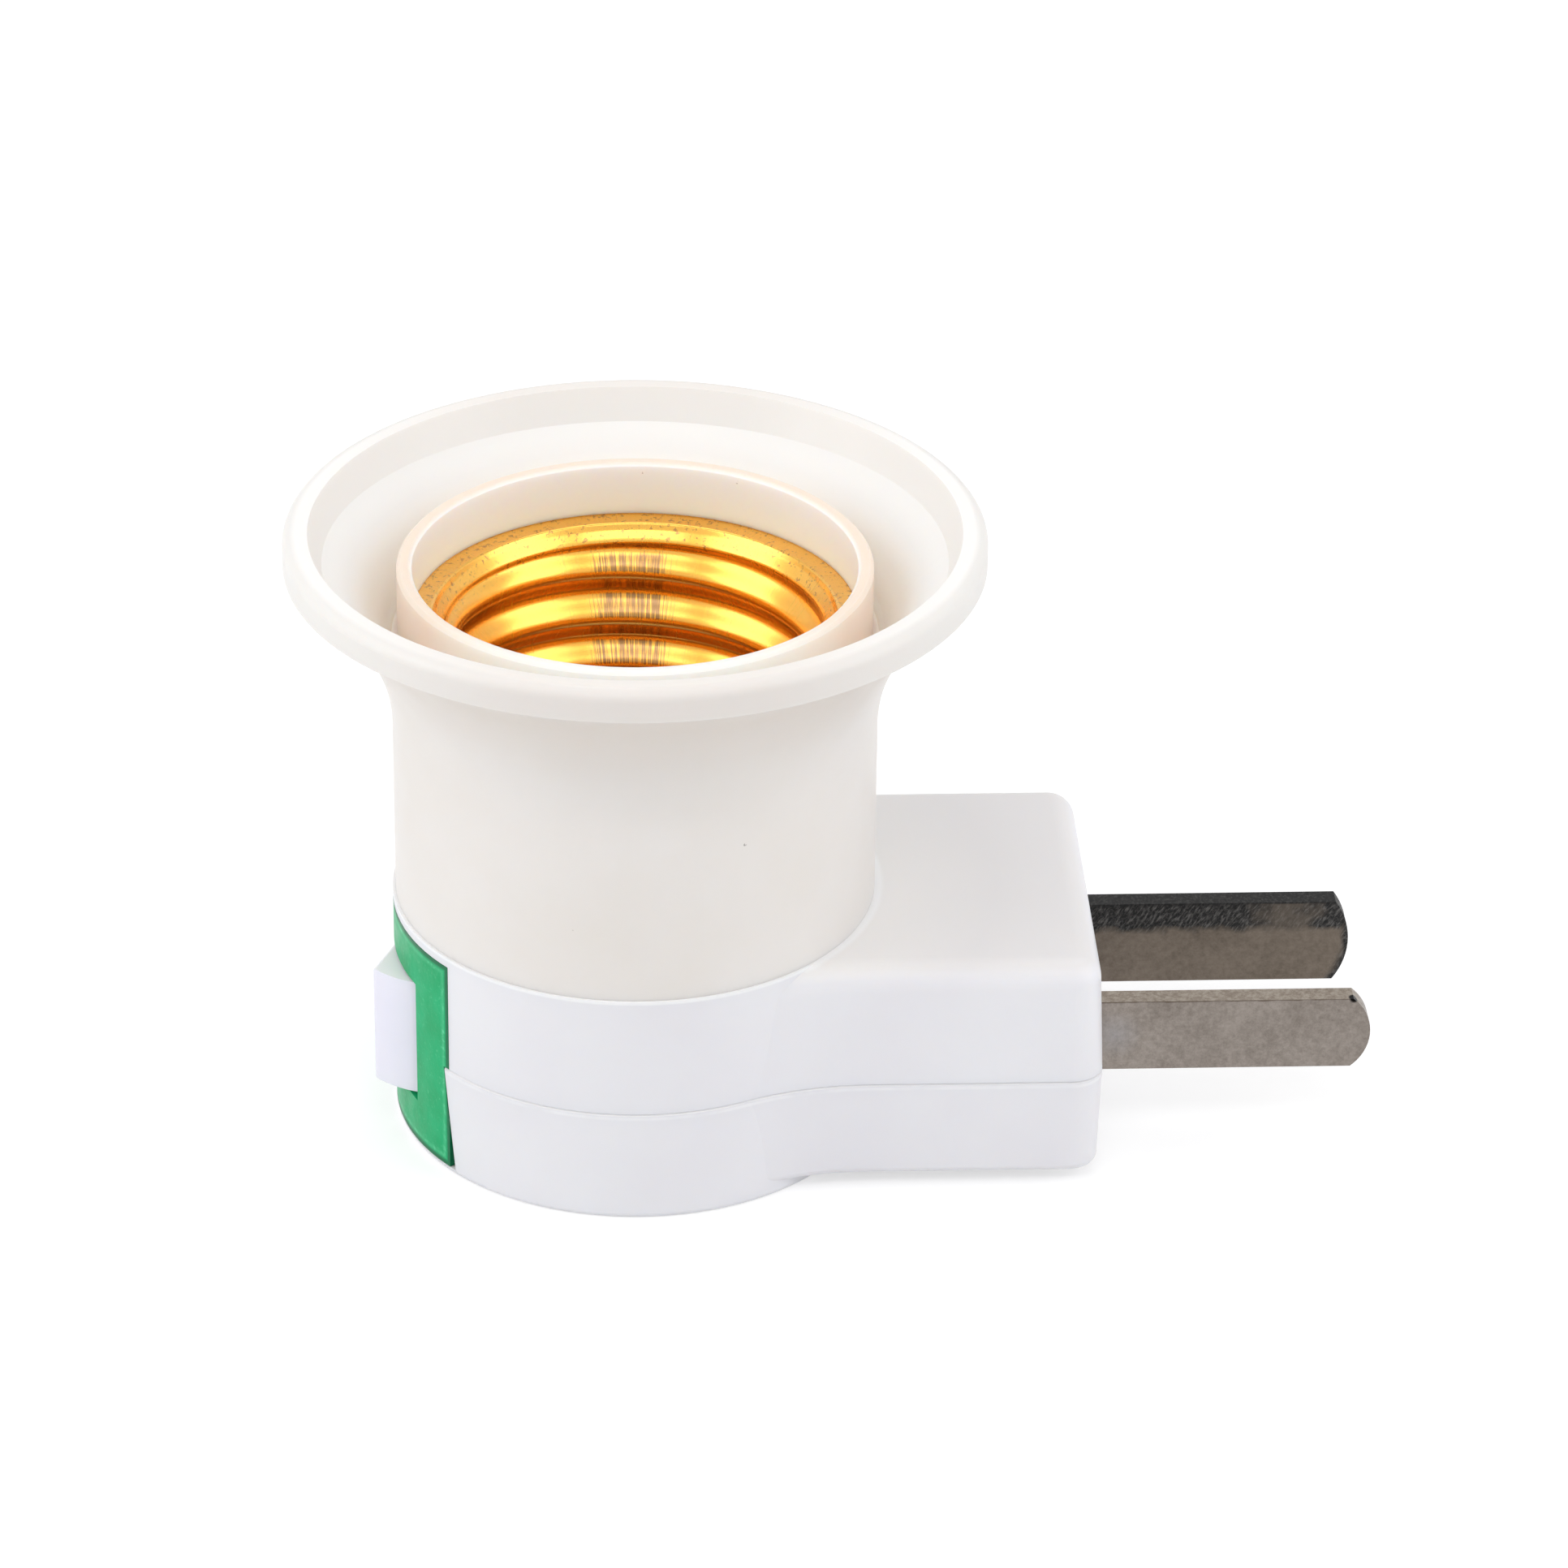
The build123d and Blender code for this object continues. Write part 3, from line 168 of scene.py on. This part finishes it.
# Softboxes: place and size in metres, power in watts
SOFTBOXES = {
    "left_box": ((-0.58, -0.16, 0.35), (0.45, 0.6), 1.9),
    "right_box": ((0.58, -0.20, 0.38), (0.45, 0.6), 1.62),
    "top_box": ((0.0, 0.16, 0.75), (0.6, 0.40), 1.2),
    "front_box": ((0.0, -0.42, 0.60), (0.60, 0.17), 0.80),
}
LIGHT_AIM = (0, 0, 0.02)

FLOOR_HALF = 3.0
FLOOR_BOUNCE = (0.86, 0.86, 0.86, 1)      # floor as the part sees it
FLOOR_SHOWN = (0.55, 0.55, 0.555, 1)      # floor as the camera sees it, under its glow
GLOW_NEAR, GLOW_FAR = 0.55, 0.85
GLOW_GROWS = (0.35, 1.1)                  # distances from the lamp axis

SKY = 0.53                 # light of the world on matt surfaces
CEILING = 0.68             # and overhead, as shiny surfaces see it
CEILING_FROM, CEILING_FULL = 0.35, 0.85


def add_camera():
    target = Vector(TARGET)
    out = Vector((sin(CAMERA_AZIMUTH) * cos(CAMERA_ELEVATION),
                  -cos(CAMERA_AZIMUTH) * cos(CAMERA_ELEVATION), sin(CAMERA_ELEVATION)))
    data = bpy.data.cameras.new("camera")
    data.sensor_width = SENSOR_WIDTH
    data.lens = LENS
    data.shift_x = (PHOTO_WIDTH / 2 - AXIS_COLUMN) / PHOTO_WIDTH
    data.clip_start = 0.01
    data.clip_end = 20
    camera = bpy.data.objects.new("camera", data)
    camera.location = target + out * CAMERA_DISTANCE
    camera.rotation_euler = (-out).to_track_quat("-Z", "Y").to_euler()
    scene.collection.objects.link(camera)
    scene.camera = camera


def add_lights():
    for name, (place, size, power) in SOFTBOXES.items():
        data = bpy.data.lights.new(name, "AREA")
        data.shape = "RECTANGLE"
        data.size, data.size_y = size
        data.energy = power
        light = bpy.data.objects.new(name, data)
        light.location = place
        way = Vector(LIGHT_AIM) - Vector(place)
        light.rotation_euler = way.to_track_quat("-Z", "Y").to_euler()
        scene.collection.objects.link(light)


def floor_material():
    """White floor that keeps the shadow: it glows a little to the camera, more so far away."""
    material = bpy.data.materials.new("floor_white")
    material.use_nodes = True
    g = Graph(material.node_tree)
    path = g.add("LightPath")
    seen = g.math("MAXIMUM", path.outputs["Is Camera Ray"], path.outputs["Is Glossy Ray"])
    plain = g.add("BsdfDiffuse", Color=FLOOR_BOUNCE)
    shown = g.add("BsdfDiffuse", Color=FLOOR_SHOWN)
    away = g.radius_and_height()[0]
    strength = g.span(away, *GLOW_GROWS, GLOW_NEAR, GLOW_FAR)
    glow = g.add("Emission", Color=(1, 1, 1, 1), Strength=strength)
    both = g.add("AddShader")
    g.put(both, 0, shown.outputs[0])
    g.put(both, 1, glow.outputs[0])
    choose = g.add("MixShader")
    for key, value in enumerate((seen, plain.outputs[0], both.outputs[0])):
        g.put(choose, key, value)
    g.add("OutputMaterial", Surface=choose.outputs[0])
    return material


def add_floor():
    mesh = bpy.data.meshes.new("floor")
    half = FLOOR_HALF
    corners = [(-half, -half, 0), (half, -half, 0), (half, half, 0), (-half, half, 0)]
    mesh.from_pydata(corners, [], [(0, 1, 2, 3)])
    floor = bpy.data.objects.new("floor", mesh)
    floor.data.materials.append(floor_material())
    scene.collection.objects.link(floor)


def add_world():
    """White studio: plain to the camera, dimmer overhead to shiny surfaces."""
    world = bpy.data.worlds.new("studio")
    scene.world = world
    world.use_nodes = True
    g = Graph(world.node_tree)
    path = g.add("LightPath")
    up = g.split(g.add("TexCoord").outputs["Generated"])[2]
    ceiling = g.span(up, CEILING_FROM, CEILING_FULL, 1.0, CEILING)
    strength = g.times(path.outputs["Is Glossy Ray"], ceiling)
    strength = g.math("MAXIMUM", strength, SKY)
    strength = g.math("MAXIMUM", strength, path.outputs["Is Camera Ray"])
    background = g.add("Background", Color=(1, 1, 1, 1), Strength=strength)
    g.add("OutputWorld", Surface=background.outputs[0])
    scene.view_settings.view_transform = "Standard"


# Screw shell, with the sizes of part.py in millimetres

PITCH = 3.629
CREST_START = 17.5         # height of a crest on the +X side
THREAD_MAJOR = 13.3
THREAD_MINOR = 12.2
THREAD_FROM = 20.7         # the plain band below runs into the thread between these
THREAD_FULL = 21.9
SHEET = 0.35
RIM_TOP = 37.95
RIM_R = 15.2
RIM_LIFT = 0.05            # the rim's edge stands up and closes the clearance round it
FUNNEL_R = 13.7
FUNNEL_FOOT_R = 13.05
FUNNEL_FOOT = 36.8
FUNNEL_TOP = 37.6
FOOT_LOW = 19.8
FOOT_TOP = FOOT_LOW + SHEET
FOOT_EDGE_R = 11.9         # where the flat foot meets the bend into the wall
FOOT_IN = 11.2
LUG_IN = 6.4
LUG_HALF = 3.5
SCREW_AT = 9.3
SCREW_HOLE_R = 1.5
TURN_STEPS = 288
INNER_LEVELS = [20.6 + 0.17 * k for k in range(101)]
OUTER_LEVELS = [37.2 - 0.34 * k for k in range(49)]


def ease(low, high, value):
    t = min(max((value - low) / (high - low), 0.0), 1.0)
    return t * t * (3 - 2 * t)


def shell_radius(z, turn):
    """Inside radius of the rolled wall: plain band, knuckle thread, funnel."""
    wave = 0.5 + 0.5 * cos(2 * pi * ((z - CREST_START) / PITCH - turn))
    depth = (THREAD_MAJOR - THREAD_MINOR) * wave
    thread = THREAD_MINOR + depth * ease(THREAD_FROM, THREAD_FULL, z)
    climb = min(max((z - FUNNEL_FOOT) / (FUNNEL_TOP - FUNNEL_FOOT), 0.0), 1.0)
    funnel = FUNNEL_FOOT_R + (FUNNEL_R - FUNNEL_FOOT_R) * climb
    share = ease(FUNNEL_FOOT - 0.7, FUNNEL_FOOT + 0.1, z)
    return thread * (1 - share) + funnel * share


def shell_section(turn):
    """Section at one angle, up the inside, over the rim and down the outside."""
    foot_bend = [(FOOT_EDGE_R, FOOT_TOP), (12.08, FOOT_TOP + 0.05), (12.17, FOOT_TOP + 0.17)]
    inside = [(shell_radius(z, turn), z) for z in INNER_LEVELS]
    rim = [(FUNNEL_R + 0.06, RIM_TOP - 0.13), (FUNNEL_R + 0.15, RIM_TOP - 0.03),
           (FUNNEL_R + 0.28, RIM_TOP), (RIM_R - 0.22, RIM_TOP),
           (RIM_R - 0.08, RIM_TOP + 0.07), (RIM_R, RIM_TOP + RIM_LIFT),
           (RIM_R, RIM_TOP - SHEET + RIM_LIFT), (RIM_R - 0.05, RIM_TOP - SHEET),
           (FUNNEL_R + SHEET + 0.12, RIM_TOP - SHEET)]
    outside = [(shell_radius(z, turn) + SHEET, z) for z in OUTER_LEVELS]
    under = [(THREAD_MINOR + SHEET, FOOT_LOW + 0.4), (12.43, FOOT_LOW + 0.12),
             (12.2, FOOT_LOW), (FOOT_EDGE_R, FOOT_LOW)]
    return foot_bend + inside + rim + outside + under


def arc_points(radius, start, end, steps, centre=(0.0, 0.0)):
    angles = [start + (end - start) * k / steps for k in range(steps + 1)]
    return [(centre[0] + radius * cos(a), centre[1] + radius * sin(a)) for a in angles]


def foot_loops():
    """Inner outline of the flat foot with its two lugs, and the holes for the screws."""
    near = acos(LUG_HALF / FOOT_IN)
    tip = asin(LUG_HALF / LUG_IN)
    outline = []
    for middle in (0.0, pi):
        outline += arc_points(FOOT_IN, middle - near, middle + near, 60)
        outline += arc_points(LUG_IN, middle + pi / 2 - tip, middle + pi / 2 + tip, 16)
    holes = []
    for y in (-SCREW_AT, SCREW_AT):
        holes.append(arc_points(SCREW_HOLE_R, 0, 2 * pi, 32, (0.0, y))[:-1])
    return [outline, *holes]


def fill_foot(mesh, edge, z, loops):
    """Flat face of the foot between its outer edge and the loops, whose rings it returns."""
    flat = [[Vector((v.co.x, v.co.y, 0)) for v in edge]]
    verts = list(edge)
    rings = []
    for loop in loops:
        flat.append([Vector((x, y, 0)) * MM for x, y in loop])
        rings.append([mesh.verts.new((x * MM, y * MM, z * MM)) for x, y in loop])
        verts += rings[-1]
    for corners in tessellate_polygon(flat):
        mesh.faces.new([verts[k] for k in corners])
    return rings


def bridge(mesh, first, second):
    for k in range(len(first)):
        after = (k + 1) % len(first)
        mesh.faces.new((first[k], first[after], second[after], second[k]))


def screw_shell(material):
    """Rolled shell with its smooth knuckle thread, funnel, rim, and foot with two lugs."""
    mesh = bmesh.new()
    columns = []
    for step in range(TURN_STEPS):
        turn = step / TURN_STEPS
        c, s = cos(2 * pi * turn), sin(2 * pi * turn)
        columns.append([mesh.verts.new((r * c * MM, r * s * MM, z * MM))
                        for r, z in shell_section(turn)])
    levels = [list(level) for level in zip(*columns)]
    for low, high in zip(levels, levels[1:]):
        bridge(mesh, low, high)
    loops = foot_loops()
    top_rings = fill_foot(mesh, levels[0], FOOT_TOP, loops)
    low_rings = fill_foot(mesh, levels[-1], FOOT_LOW, loops)
    for top, low in zip(top_rings, low_rings):
        bridge(mesh, top, low)
    bmesh.ops.recalc_face_normals(mesh, faces=mesh.faces)
    data = bpy.data.meshes.new("rolled_screw_shell")
    mesh.to_mesh(data)
    mesh.free()
    data.shade_smooth()
    data.set_sharp_from_angle(angle=radians(50))
    data.materials.append(material)
    piece = bpy.data.objects.new("rolled_screw_shell", data)
    scene.collection.objects.link(piece)
    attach(piece, "housing")
    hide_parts("screw_shell")


# Materials: lengths that rise and fall take are in millimetres, colours are display values

def new_material(name):
    material = bpy.data.materials.new(name)
    material.use_nodes = True
    g = Graph(material.node_tree)
    surface = g.add("BsdfPrincipled")
    g.add("OutputMaterial", Surface=surface.outputs[0])
    return material, g, surface


def plastic(name, colour, roughness=0.42, tint=None, grain=0.10, paint=None):
    """Satin moulded plastic: faint cloudy tint and fine mould texture."""
    material, g, surface = new_material(name)
    second = tint or [c * 0.985 for c in colour]
    cloud = g.span(g.noise(90, 4), 0.35, 0.68)
    shade = g.mix(cloud, linear(*colour), linear(*second))
    g.put(surface, "Subsurface Weight", 0.25)
    if paint:
        shade = paint(g, shade, surface)
    g.put(surface, "Base Color", shade)
    rough = g.span(g.noise(260, 3), 0.3, 0.7, roughness - 0.05, roughness + 0.07)
    g.put(surface, "Roughness", rough)
    g.put(surface, "IOR", 1.47)
    g.put(surface, "Subsurface Radius", (1.0, 0.8, 0.62))
    g.put(surface, "Subsurface Scale", 0.0016)
    fine = g.bump(g.noise(5200, 2), grain, 0.00003)
    g.put(surface, "Normal", g.bump(g.noise(420, 2), 0.10, 0.00012, fine))
    return material


# Small dark marks and scratches on the socket body: place and radius, millimetres
MARKS = [((6.93, -15.08, 28.31), 0.14), ((12.29, -11.45, 25.62), 0.20),
         ((-9.1, -18.78, 44.5), 0.17), ((-9.02, 17.22, 41.0), 0.14),
         ((0.9, 15.1, 41.2), 0.12), ((7.4, 13.1, 41.3), 0.16), ((-4.6, -16.0, 22.4), 0.08),
         ((3.4, 22.6, 44.4), 0.10), ((-13.0, 17.4, 44.3), 0.10)]


def trumpet_painted_light_and_shade(g, shade, radius, height, x, up):
    """Painted shade under the trumpet and on its lip, painted light in the trough, lightest by
    the ring, and on the lip's top; all lighter to the sides.
    """
    painted_light_sideways = g.rise(g.math("ABSOLUTE", x), 8, 21)
    # Painted shade under the trumpet.
    under = g.times(g.rise(height, 31, 36), g.span(up, -0.7, -0.25, 1.0, 0.0))
    shade = g.mix(under, shade, linear(222, 215, 208))
    # Painted shade on the lip, lighter to the sides.
    lip = g.rise(height, 41.8, 42.8)
    shade = g.mix(lip, shade, g.mix(painted_light_sideways, linear(218, 214, 209), linear(230, 227, 223)))
    # Painted light in the trough, lightest by the ring.
    outwards = g.rise(radius, 17.2, 19.5)
    trough_painted_light = g.mix(outwards, linear(255, 251, 242), linear(236, 235, 233))
    shade = g.mix(g.span(up, 0.0, 0.16), shade, trough_painted_light)
    # Painted light on the lip's top, lighter to the sides.
    lip_top_painted_light = g.times(g.rise(height, 43.9, 44.5), g.span(up, 0.3, 0.6))
    light = g.mix(painted_light_sideways, linear(234, 229, 224), linear(243, 241, 239))
    shade = g.mix(lip_top_painted_light, shade, light)
    # Painted shade on the lip's outer rim, lighter to the sides.
    outer = g.times(g.rise(radius, 22.9, 23.3), lip)
    return g.mix(outer, shade, g.mix(painted_light_sideways, linear(225, 220, 216), linear(231, 229, 226)))


def socket_marks_and_painted_light(g, shade, surface):
    """Trumpet with painted light and shade, ring with subsurface and a painted warm glow from the
    gold shell on its back and inside wall, small dark marks.
    """
    radius, height = g.radius_and_height()
    x, y, _ = g.split(g.place())
    shade = trumpet_painted_light_and_shade(g, shade, radius, height, x, g.facing()[2])
    # Ring: its back painted peach, a painted glow of light from the gold shell; subsurface weight
    # rises on the ring.
    ring = g.times(g.rise(height, 36.2, 36.9), g.fall(radius, 16.3, 16.7))
    back_painted_glow = g.rise(y, -15, -8)
    shade = g.mix(ring, shade, g.mix(back_painted_glow, linear(243, 241, 236), linear(237, 219, 205)))
    g.put(surface, "Subsurface Weight", g.span(ring, 0.0, 1.0, 0.25, 0.95))
    # Inside wall of the ring painted near white, a painted glow of light from the shell.
    inside = g.times(g.fall(radius, 15.15, 15.35), g.rise(height, 37.8, 37.95))
    glow = g.mix(g.rise(height, 38.0, 41.9), linear(255, 249, 234), linear(255, 253, 247))
    shade = g.mix(inside, shade, glow)
    broken = g.span(g.noise(5200, 2), 0.40, 0.62)
    for place, size in MARKS:
        mark = g.times(g.near(place, size), broken)
        shade = g.mix(g.times(mark, 0.85), shade, linear(96, 84, 76))
    return shade


def housing_painted_light_and_shade(g, shade, surface):
    """Roof painted a little greyer than the sides as painted shade and lighter near the socket as
    painted light, painted highlight lines at the parting line and the socket.
    """
    radius, height = g.radius_and_height()
    # Painted shade on the roof, with painted light near the socket.
    roof_painted_light_and_shade = g.mix(g.rise(radius, 17, 25), linear(240, 238, 237), linear(227, 225, 226))
    shade = g.mix(g.span(g.facing()[2], 0.45, 0.85), shade, roof_painted_light_and_shade)
    # Painted highlight line where the roof meets the socket.
    foot = g.times(g.rise(height, 16.92, 17.05), g.fall(radius, 17.0, 17.3))
    shade = g.mix(g.times(foot, 0.8), shade, linear(248, 248, 249))
    # Painted highlight along the parting line, broken up by noise.
    from_seam = g.math("ABSOLUTE", g.math("SUBTRACT", height, 8.02 * MM))
    patchy = g.span(g.noise(420, 3), 0.30, 0.60)
    line = g.times(g.fall(from_seam, 0.06, 0.18), patchy)
    return g.mix(g.times(line, 0.5), shade, linear(246, 246, 248))


def rocker_painted_light(g, shade, surface):
    """Top and bottom faces painted lighter, painted light where the green would tint them."""
    up = g.math("ABSOLUTE", g.facing()[2])
    return g.mix(g.span(up, 0.5, 0.9), shade, linear(250, 244, 252))


BEZEL_HALF_ANGLE = radians(39)
BEZEL_TOP = 16.45
BEZEL_LOW = 0.55


def green_plastic():
    """Satin green with painted shade along its outer edge and a painted highlight line inside it.
    """
    material, g, surface = new_material("green_bezel")
    cloud = g.span(g.noise(420, 4), 0.35, 0.68)
    shade = g.mix(cloud, linear(6, 172, 110), linear(4, 158, 96))
    fleck = g.span(g.noise(3000, 3, None, 0.7), 0.58, 0.68)
    shade = g.mix(g.times(fleck, 0.30), shade, linear(90, 205, 150))
    x, y, z = g.split(g.place())
    side = g.times(g.math("ABSOLUTE", y), cos(BEZEL_HALF_ANGLE))
    side = g.math("SUBTRACT", g.times(x, -sin(BEZEL_HALF_ANGLE)), side)
    edge = g.math("MINIMUM", side, g.math("SUBTRACT", BEZEL_TOP * MM, z))
    edge = g.math("MINIMUM", edge, g.math("SUBTRACT", z, BEZEL_LOW * MM))
    # Painted highlight line just inside the edge, broken up by noise.
    painted_light_and_marks = g.span(g.noise(1500, 3), 0.50, 0.66, 0.25, 0.80)
    line = g.times(g.rise(edge, 0.40, 0.55), g.fall(edge, 0.6, 0.85))
    shade = g.mix(g.times(line, painted_light_and_marks), shade, linear(96, 208, 156))
    # Painted shade darkening the outer edge.
    dark = g.span(edge, 0.22 * MM, 0.42 * MM, 0.85, 0.0)
    g.put(surface, "Base Color", g.mix(dark, shade, linear(2, 92, 58)))
    g.put(surface, "Roughness", g.span(g.noise(900, 3), 0.3, 0.7, 0.30, 0.42))
    g.put(surface, "IOR", 1.5)
    g.put(surface, "Specular IOR Level", 0.20)
    g.put(surface, "Normal", g.bump(g.noise(2600, 3), 0.30, 0.00005))
    return material


def metal(name, colour, second, roughness, streak=(1, 1, 1)):
    """Metal with streaks of a second tone, stretched along an axis."""
    material, g, surface = new_material(name)
    g.put(surface, "Metallic", 1.0)
    grain = g.noise(700, 5, g.place(streak), 0.6)
    tone = g.mix(g.span(grain, 0.32, 0.70), linear(*colour), linear(*second))
    g.put(surface, "Base Color", tone)
    rough = g.span(grain, 0.25, 0.75, roughness - 0.06, roughness + 0.10)
    g.put(surface, "Roughness", rough)
    g.put(surface, "Normal", g.bump(grain, 0.15, 0.00003))
    return material


def gold_shell():
    """Bright rolled shell, freckled at the funnel, with upright marks all round and a painted
    dark reflection on the up-facing back wall, where the marks show stronger.
    """
    material, g, surface = new_material("gold_shell")
    g.put(surface, "Metallic", 1.0)
    g.put(surface, "Coat Weight", 0.9)
    g.put(surface, "Coat IOR", 1.8)
    g.put(surface, "Coat Roughness", 0.22)
    round_wall = g.vector("SCALE", g.vector("NORMALIZE", g.place((1, 1, 0))), 120.0)
    marks = g.noise(1.0, 4, g.vector("ADD", round_wall, g.place((0, 0, 320))), 0.65)
    cloud = g.span(g.noise(300, 3), 0.35, 0.68)
    tone = g.mix(cloud, linear(254, 187, 42), linear(250, 177, 36))
    x, y, z = g.split(g.place())
    funnel = g.rise(z, 35.9, 36.5)
    tone = g.mix(funnel, tone, linear(248, 184, 46))
    freckle = g.times(g.span(g.noise(2600, 3, None, 0.7), 0.58, 0.64), funnel)
    tone = g.mix(g.times(freckle, 0.7), tone, linear(150, 92, 18))
    # Painted dark reflection: a patch on the up-facing back wall, where the marks show stronger
    # and rougher.
    painted_dark_reflection = g.times(g.fall(g.math("ABSOLUTE", x), 2.1, 3.2), g.rise(y, 10.0, 11.0))
    painted_dark_reflection = g.times(painted_dark_reflection, g.span(g.facing()[2], 0.10, 0.35))
    painted_dark_reflection = g.times(painted_dark_reflection, g.fall(z, 35.8, 36.2))
    # Upright marks darken faintly all round and strongly inside the painted dark reflection.
    excess = g.math("SUBTRACT", marks, g.span(painted_dark_reflection, 0.0, 1.0, 0.60, 0.42))
    painted_light_and_marks = g.times(g.span(excess, 0.0, 0.10), g.span(painted_dark_reflection, 0.0, 1.0, 0.30, 0.92))
    g.put(surface, "Base Color", g.mix(painted_light_and_marks, tone, linear(140, 94, 26)))
    rough = g.span(marks, 0.3, 0.75, 0.21, 0.30)
    g.put(surface, "Roughness", g.math("ADD", rough, g.times(painted_dark_reflection, 0.06)))
    g.put(surface, "Normal", g.bump(marks, 0.20, 0.00002))
    return material


def blade_base(name, light, dark):
    """Nickel plate with a fine even grain."""
    material, g, surface = new_material(name)
    g.put(surface, "Metallic", 1.0)
    grain = g.noise(2600, 5, None, 0.75)
    mixed = g.math("ADD", g.times(grain, 0.62), g.times(g.noise(260, 3), 0.38))
    tone = g.mix(g.span(mixed, 0.36, 0.64), linear(*light), linear(*dark))
    g.put(surface, "Normal", g.bump(grain, 0.16, 0.00003))
    return material, g, surface, tone, grain


def front_blade():
    """Plain nickel, with top faces painted lighter as a painted highlight, a darker band along
    the top of its sides, a painted highlight by the root and a dark nick at the tip.
    """
    material, g, surface, tone, grain = blade_base(
        "front_nickel", (151, 143, 136), (120, 112, 105))
    z = g.split(g.place())[2]
    up = g.facing()[2]
    # Painted highlight: top faces lighter, speckled by the grain.
    speckled = g.span(grain, 0.4, 0.6)
    top = g.mix(speckled, linear(168, 158, 146), linear(138, 126, 114))
    tone = g.mix(g.span(up, 0.4, 0.8), tone, top)
    wander = g.span(g.noise(900, 3), 0.3, 0.7, -0.05 * MM, 0.05 * MM)
    corner = g.rise(g.math("ADD", z, wander), 10.88, 10.96)
    corner = g.times(corner, g.span(up, 0.3, 0.6, 1.0, 0.0))
    tone = g.mix(g.times(corner, 0.75), tone, linear(84, 72, 62))
    # Painted highlight near the root.
    painted_root_highlight = g.near((33.0, -7.1, 8.4), 2.0, 0.95)
    tone = g.mix(g.times(painted_root_highlight, 0.25), tone, linear(170, 174, 182))
    nick = g.near((49.5, -6.9, 11.0), 0.42, 0.3)
    g.put(surface, "Base Color", g.mix(nick, tone, linear(18, 17, 16)))
    g.put(surface, "Roughness", g.span(grain, 0.25, 0.75, 0.30, 0.44))
    return material


def slanted_strokes(g, edge):
    """Fine strokes across the dark band, leaning towards the tip, fainter at its edge."""
    turned = g.add("Mapping", Vector=g.place(), Rotation=(0, radians(58), 0))
    slanted = g.add("Mapping", Vector=turned.outputs[0], Scale=(1700, 3600, 6400))
    strokes = g.span(g.noise(1.0, 3, slanted.outputs[0], 0.6), 0.46, 0.66)
    fleck = g.span(g.noise(5200, 3, None, 0.7), 0.50, 0.68)
    strokes = g.math("MAXIMUM", strokes, g.times(fleck, 0.6))
    return g.times(strokes, g.span(edge, 0.0, 1.0, 0.80, 0.30))


def back_blade():
    """Brownish nickel whose upper third is a painted dark reflection crossed by light scratches,
    with a darker top edge and tip.
    """
    material, g, surface, tone, grain = blade_base(
        "back_nickel", (121, 111, 101), (101, 92, 83))
    x, _, z = g.split(g.place())
    wander = g.span(g.noise(700, 4), 0.3, 0.7, -0.30 * MM, 0.30 * MM)
    # Upper band: painted dark reflection, crossed by light scratch strokes.
    band = g.rise(g.math("ADD", z, wander), 9.0, 9.6)
    along = g.math("ADD", x, g.times(wander, 3.0))
    faded = g.times(g.rise(along, 43.6, 45.4), g.fall(along, 47.4, 48.8))
    band = g.times(band, g.span(faded, 0.0, 1.0, 1.0, 0.45))
    edge = g.rise(z, 11.15, 11.4)
    from_tip = g.distance(g.place((1, 0, 1)), (45.35 * MM, 0, 8.3 * MM))
    rim = g.math("ADD", from_tip, g.times(wander, 0.5))
    tip = g.times(g.rise(rim, 4.75, 5.25), g.rise(x, 48.4, 49.0))
    dark_band_edge_and_tip = g.math("MAXIMUM", band, g.math("MAXIMUM", edge, tip))
    # Colour of the dark band, top edge and tip: painted dark reflection with light scratches.
    dark_reflection_and_scratches = g.mix(slanted_strokes(g, edge), linear(46, 46, 46), linear(112, 110, 108))
    g.put(surface, "Base Color", g.mix(dark_band_edge_and_tip, tone, dark_reflection_and_scratches))
    rough = g.span(grain, 0.25, 0.75, 0.32, 0.46)
    g.put(surface, "Roughness", g.math("ADD", rough, g.times(dark_band_edge_and_tip, 0.18)))
    return material


def looks():
    """Material of each node that keeps its own mesh."""
    ivory = plastic("ivory_plastic", (231, 227, 224), 0.40, (228, 223, 218), 0.10, socket_marks_and_painted_light)
    white = plastic("white_plastic", (232, 232, 236), 0.38, (229, 228, 233), 0.10, housing_painted_light_and_shade)
    lilac = plastic("rocker_plastic", (235, 234, 246), 0.40, (230, 229, 243), 0.10, rocker_painted_light)
    board = plastic("pressed_board", (176, 140, 96), 0.62, (150, 112, 72), 0.3)
    brown = plastic("brown_sleeve", (112, 62, 38), 0.48)
    blue = plastic("blue_sleeve", (46, 92, 176), 0.48)
    bronze = metal("spring_bronze", (232, 190, 130), (206, 156, 96), 0.28, (1, 1, 4))
    brass = metal("strip_brass", (236, 200, 120), (210, 168, 88), 0.30, (1, 4, 1))
    zinc = metal("zinc_steel", (206, 206, 208), (176, 176, 180), 0.32)
    silver = metal("contact_silver", (236, 236, 234), (210, 210, 208), 0.22)
    return {
        "socket_body": ivory,
        "upper_housing": white,
        "lower_housing": white,
        "switch_rocker": lilac,
        "switch_bezel": green_plastic(),
        "contact_insulator": board,
        "switch_plunger": board,
        "centre_contact": bronze,
        "moving_contact": bronze,
        "centre_contact_rivet": brass,
        "shell_terminal": brass,
        "common_terminal": brass,
        "output_terminal": brass,
        "shell_screws": zinc,
        "housing_screws": zinc,
        "plunger_spring": zinc,
        "moving_contact_tip": silver,
        "fixed_contact_tip": silver,
        "live_blade": front_blade(),
        "neutral_blade": back_blade(),
        "live_lead": brown,
        "switched_lead": brown,
        "neutral_lead": blue,
    }


def dress():
    for name, material in looks().items():
        if not nodes[name].material_slots:
            nodes[name].data.materials.append(material)
        for slot in nodes[name].material_slots:
            slot.material = material
    screw_shell(gold_shell())


add_camera()
add_lights()
add_floor()
add_world()
dress()
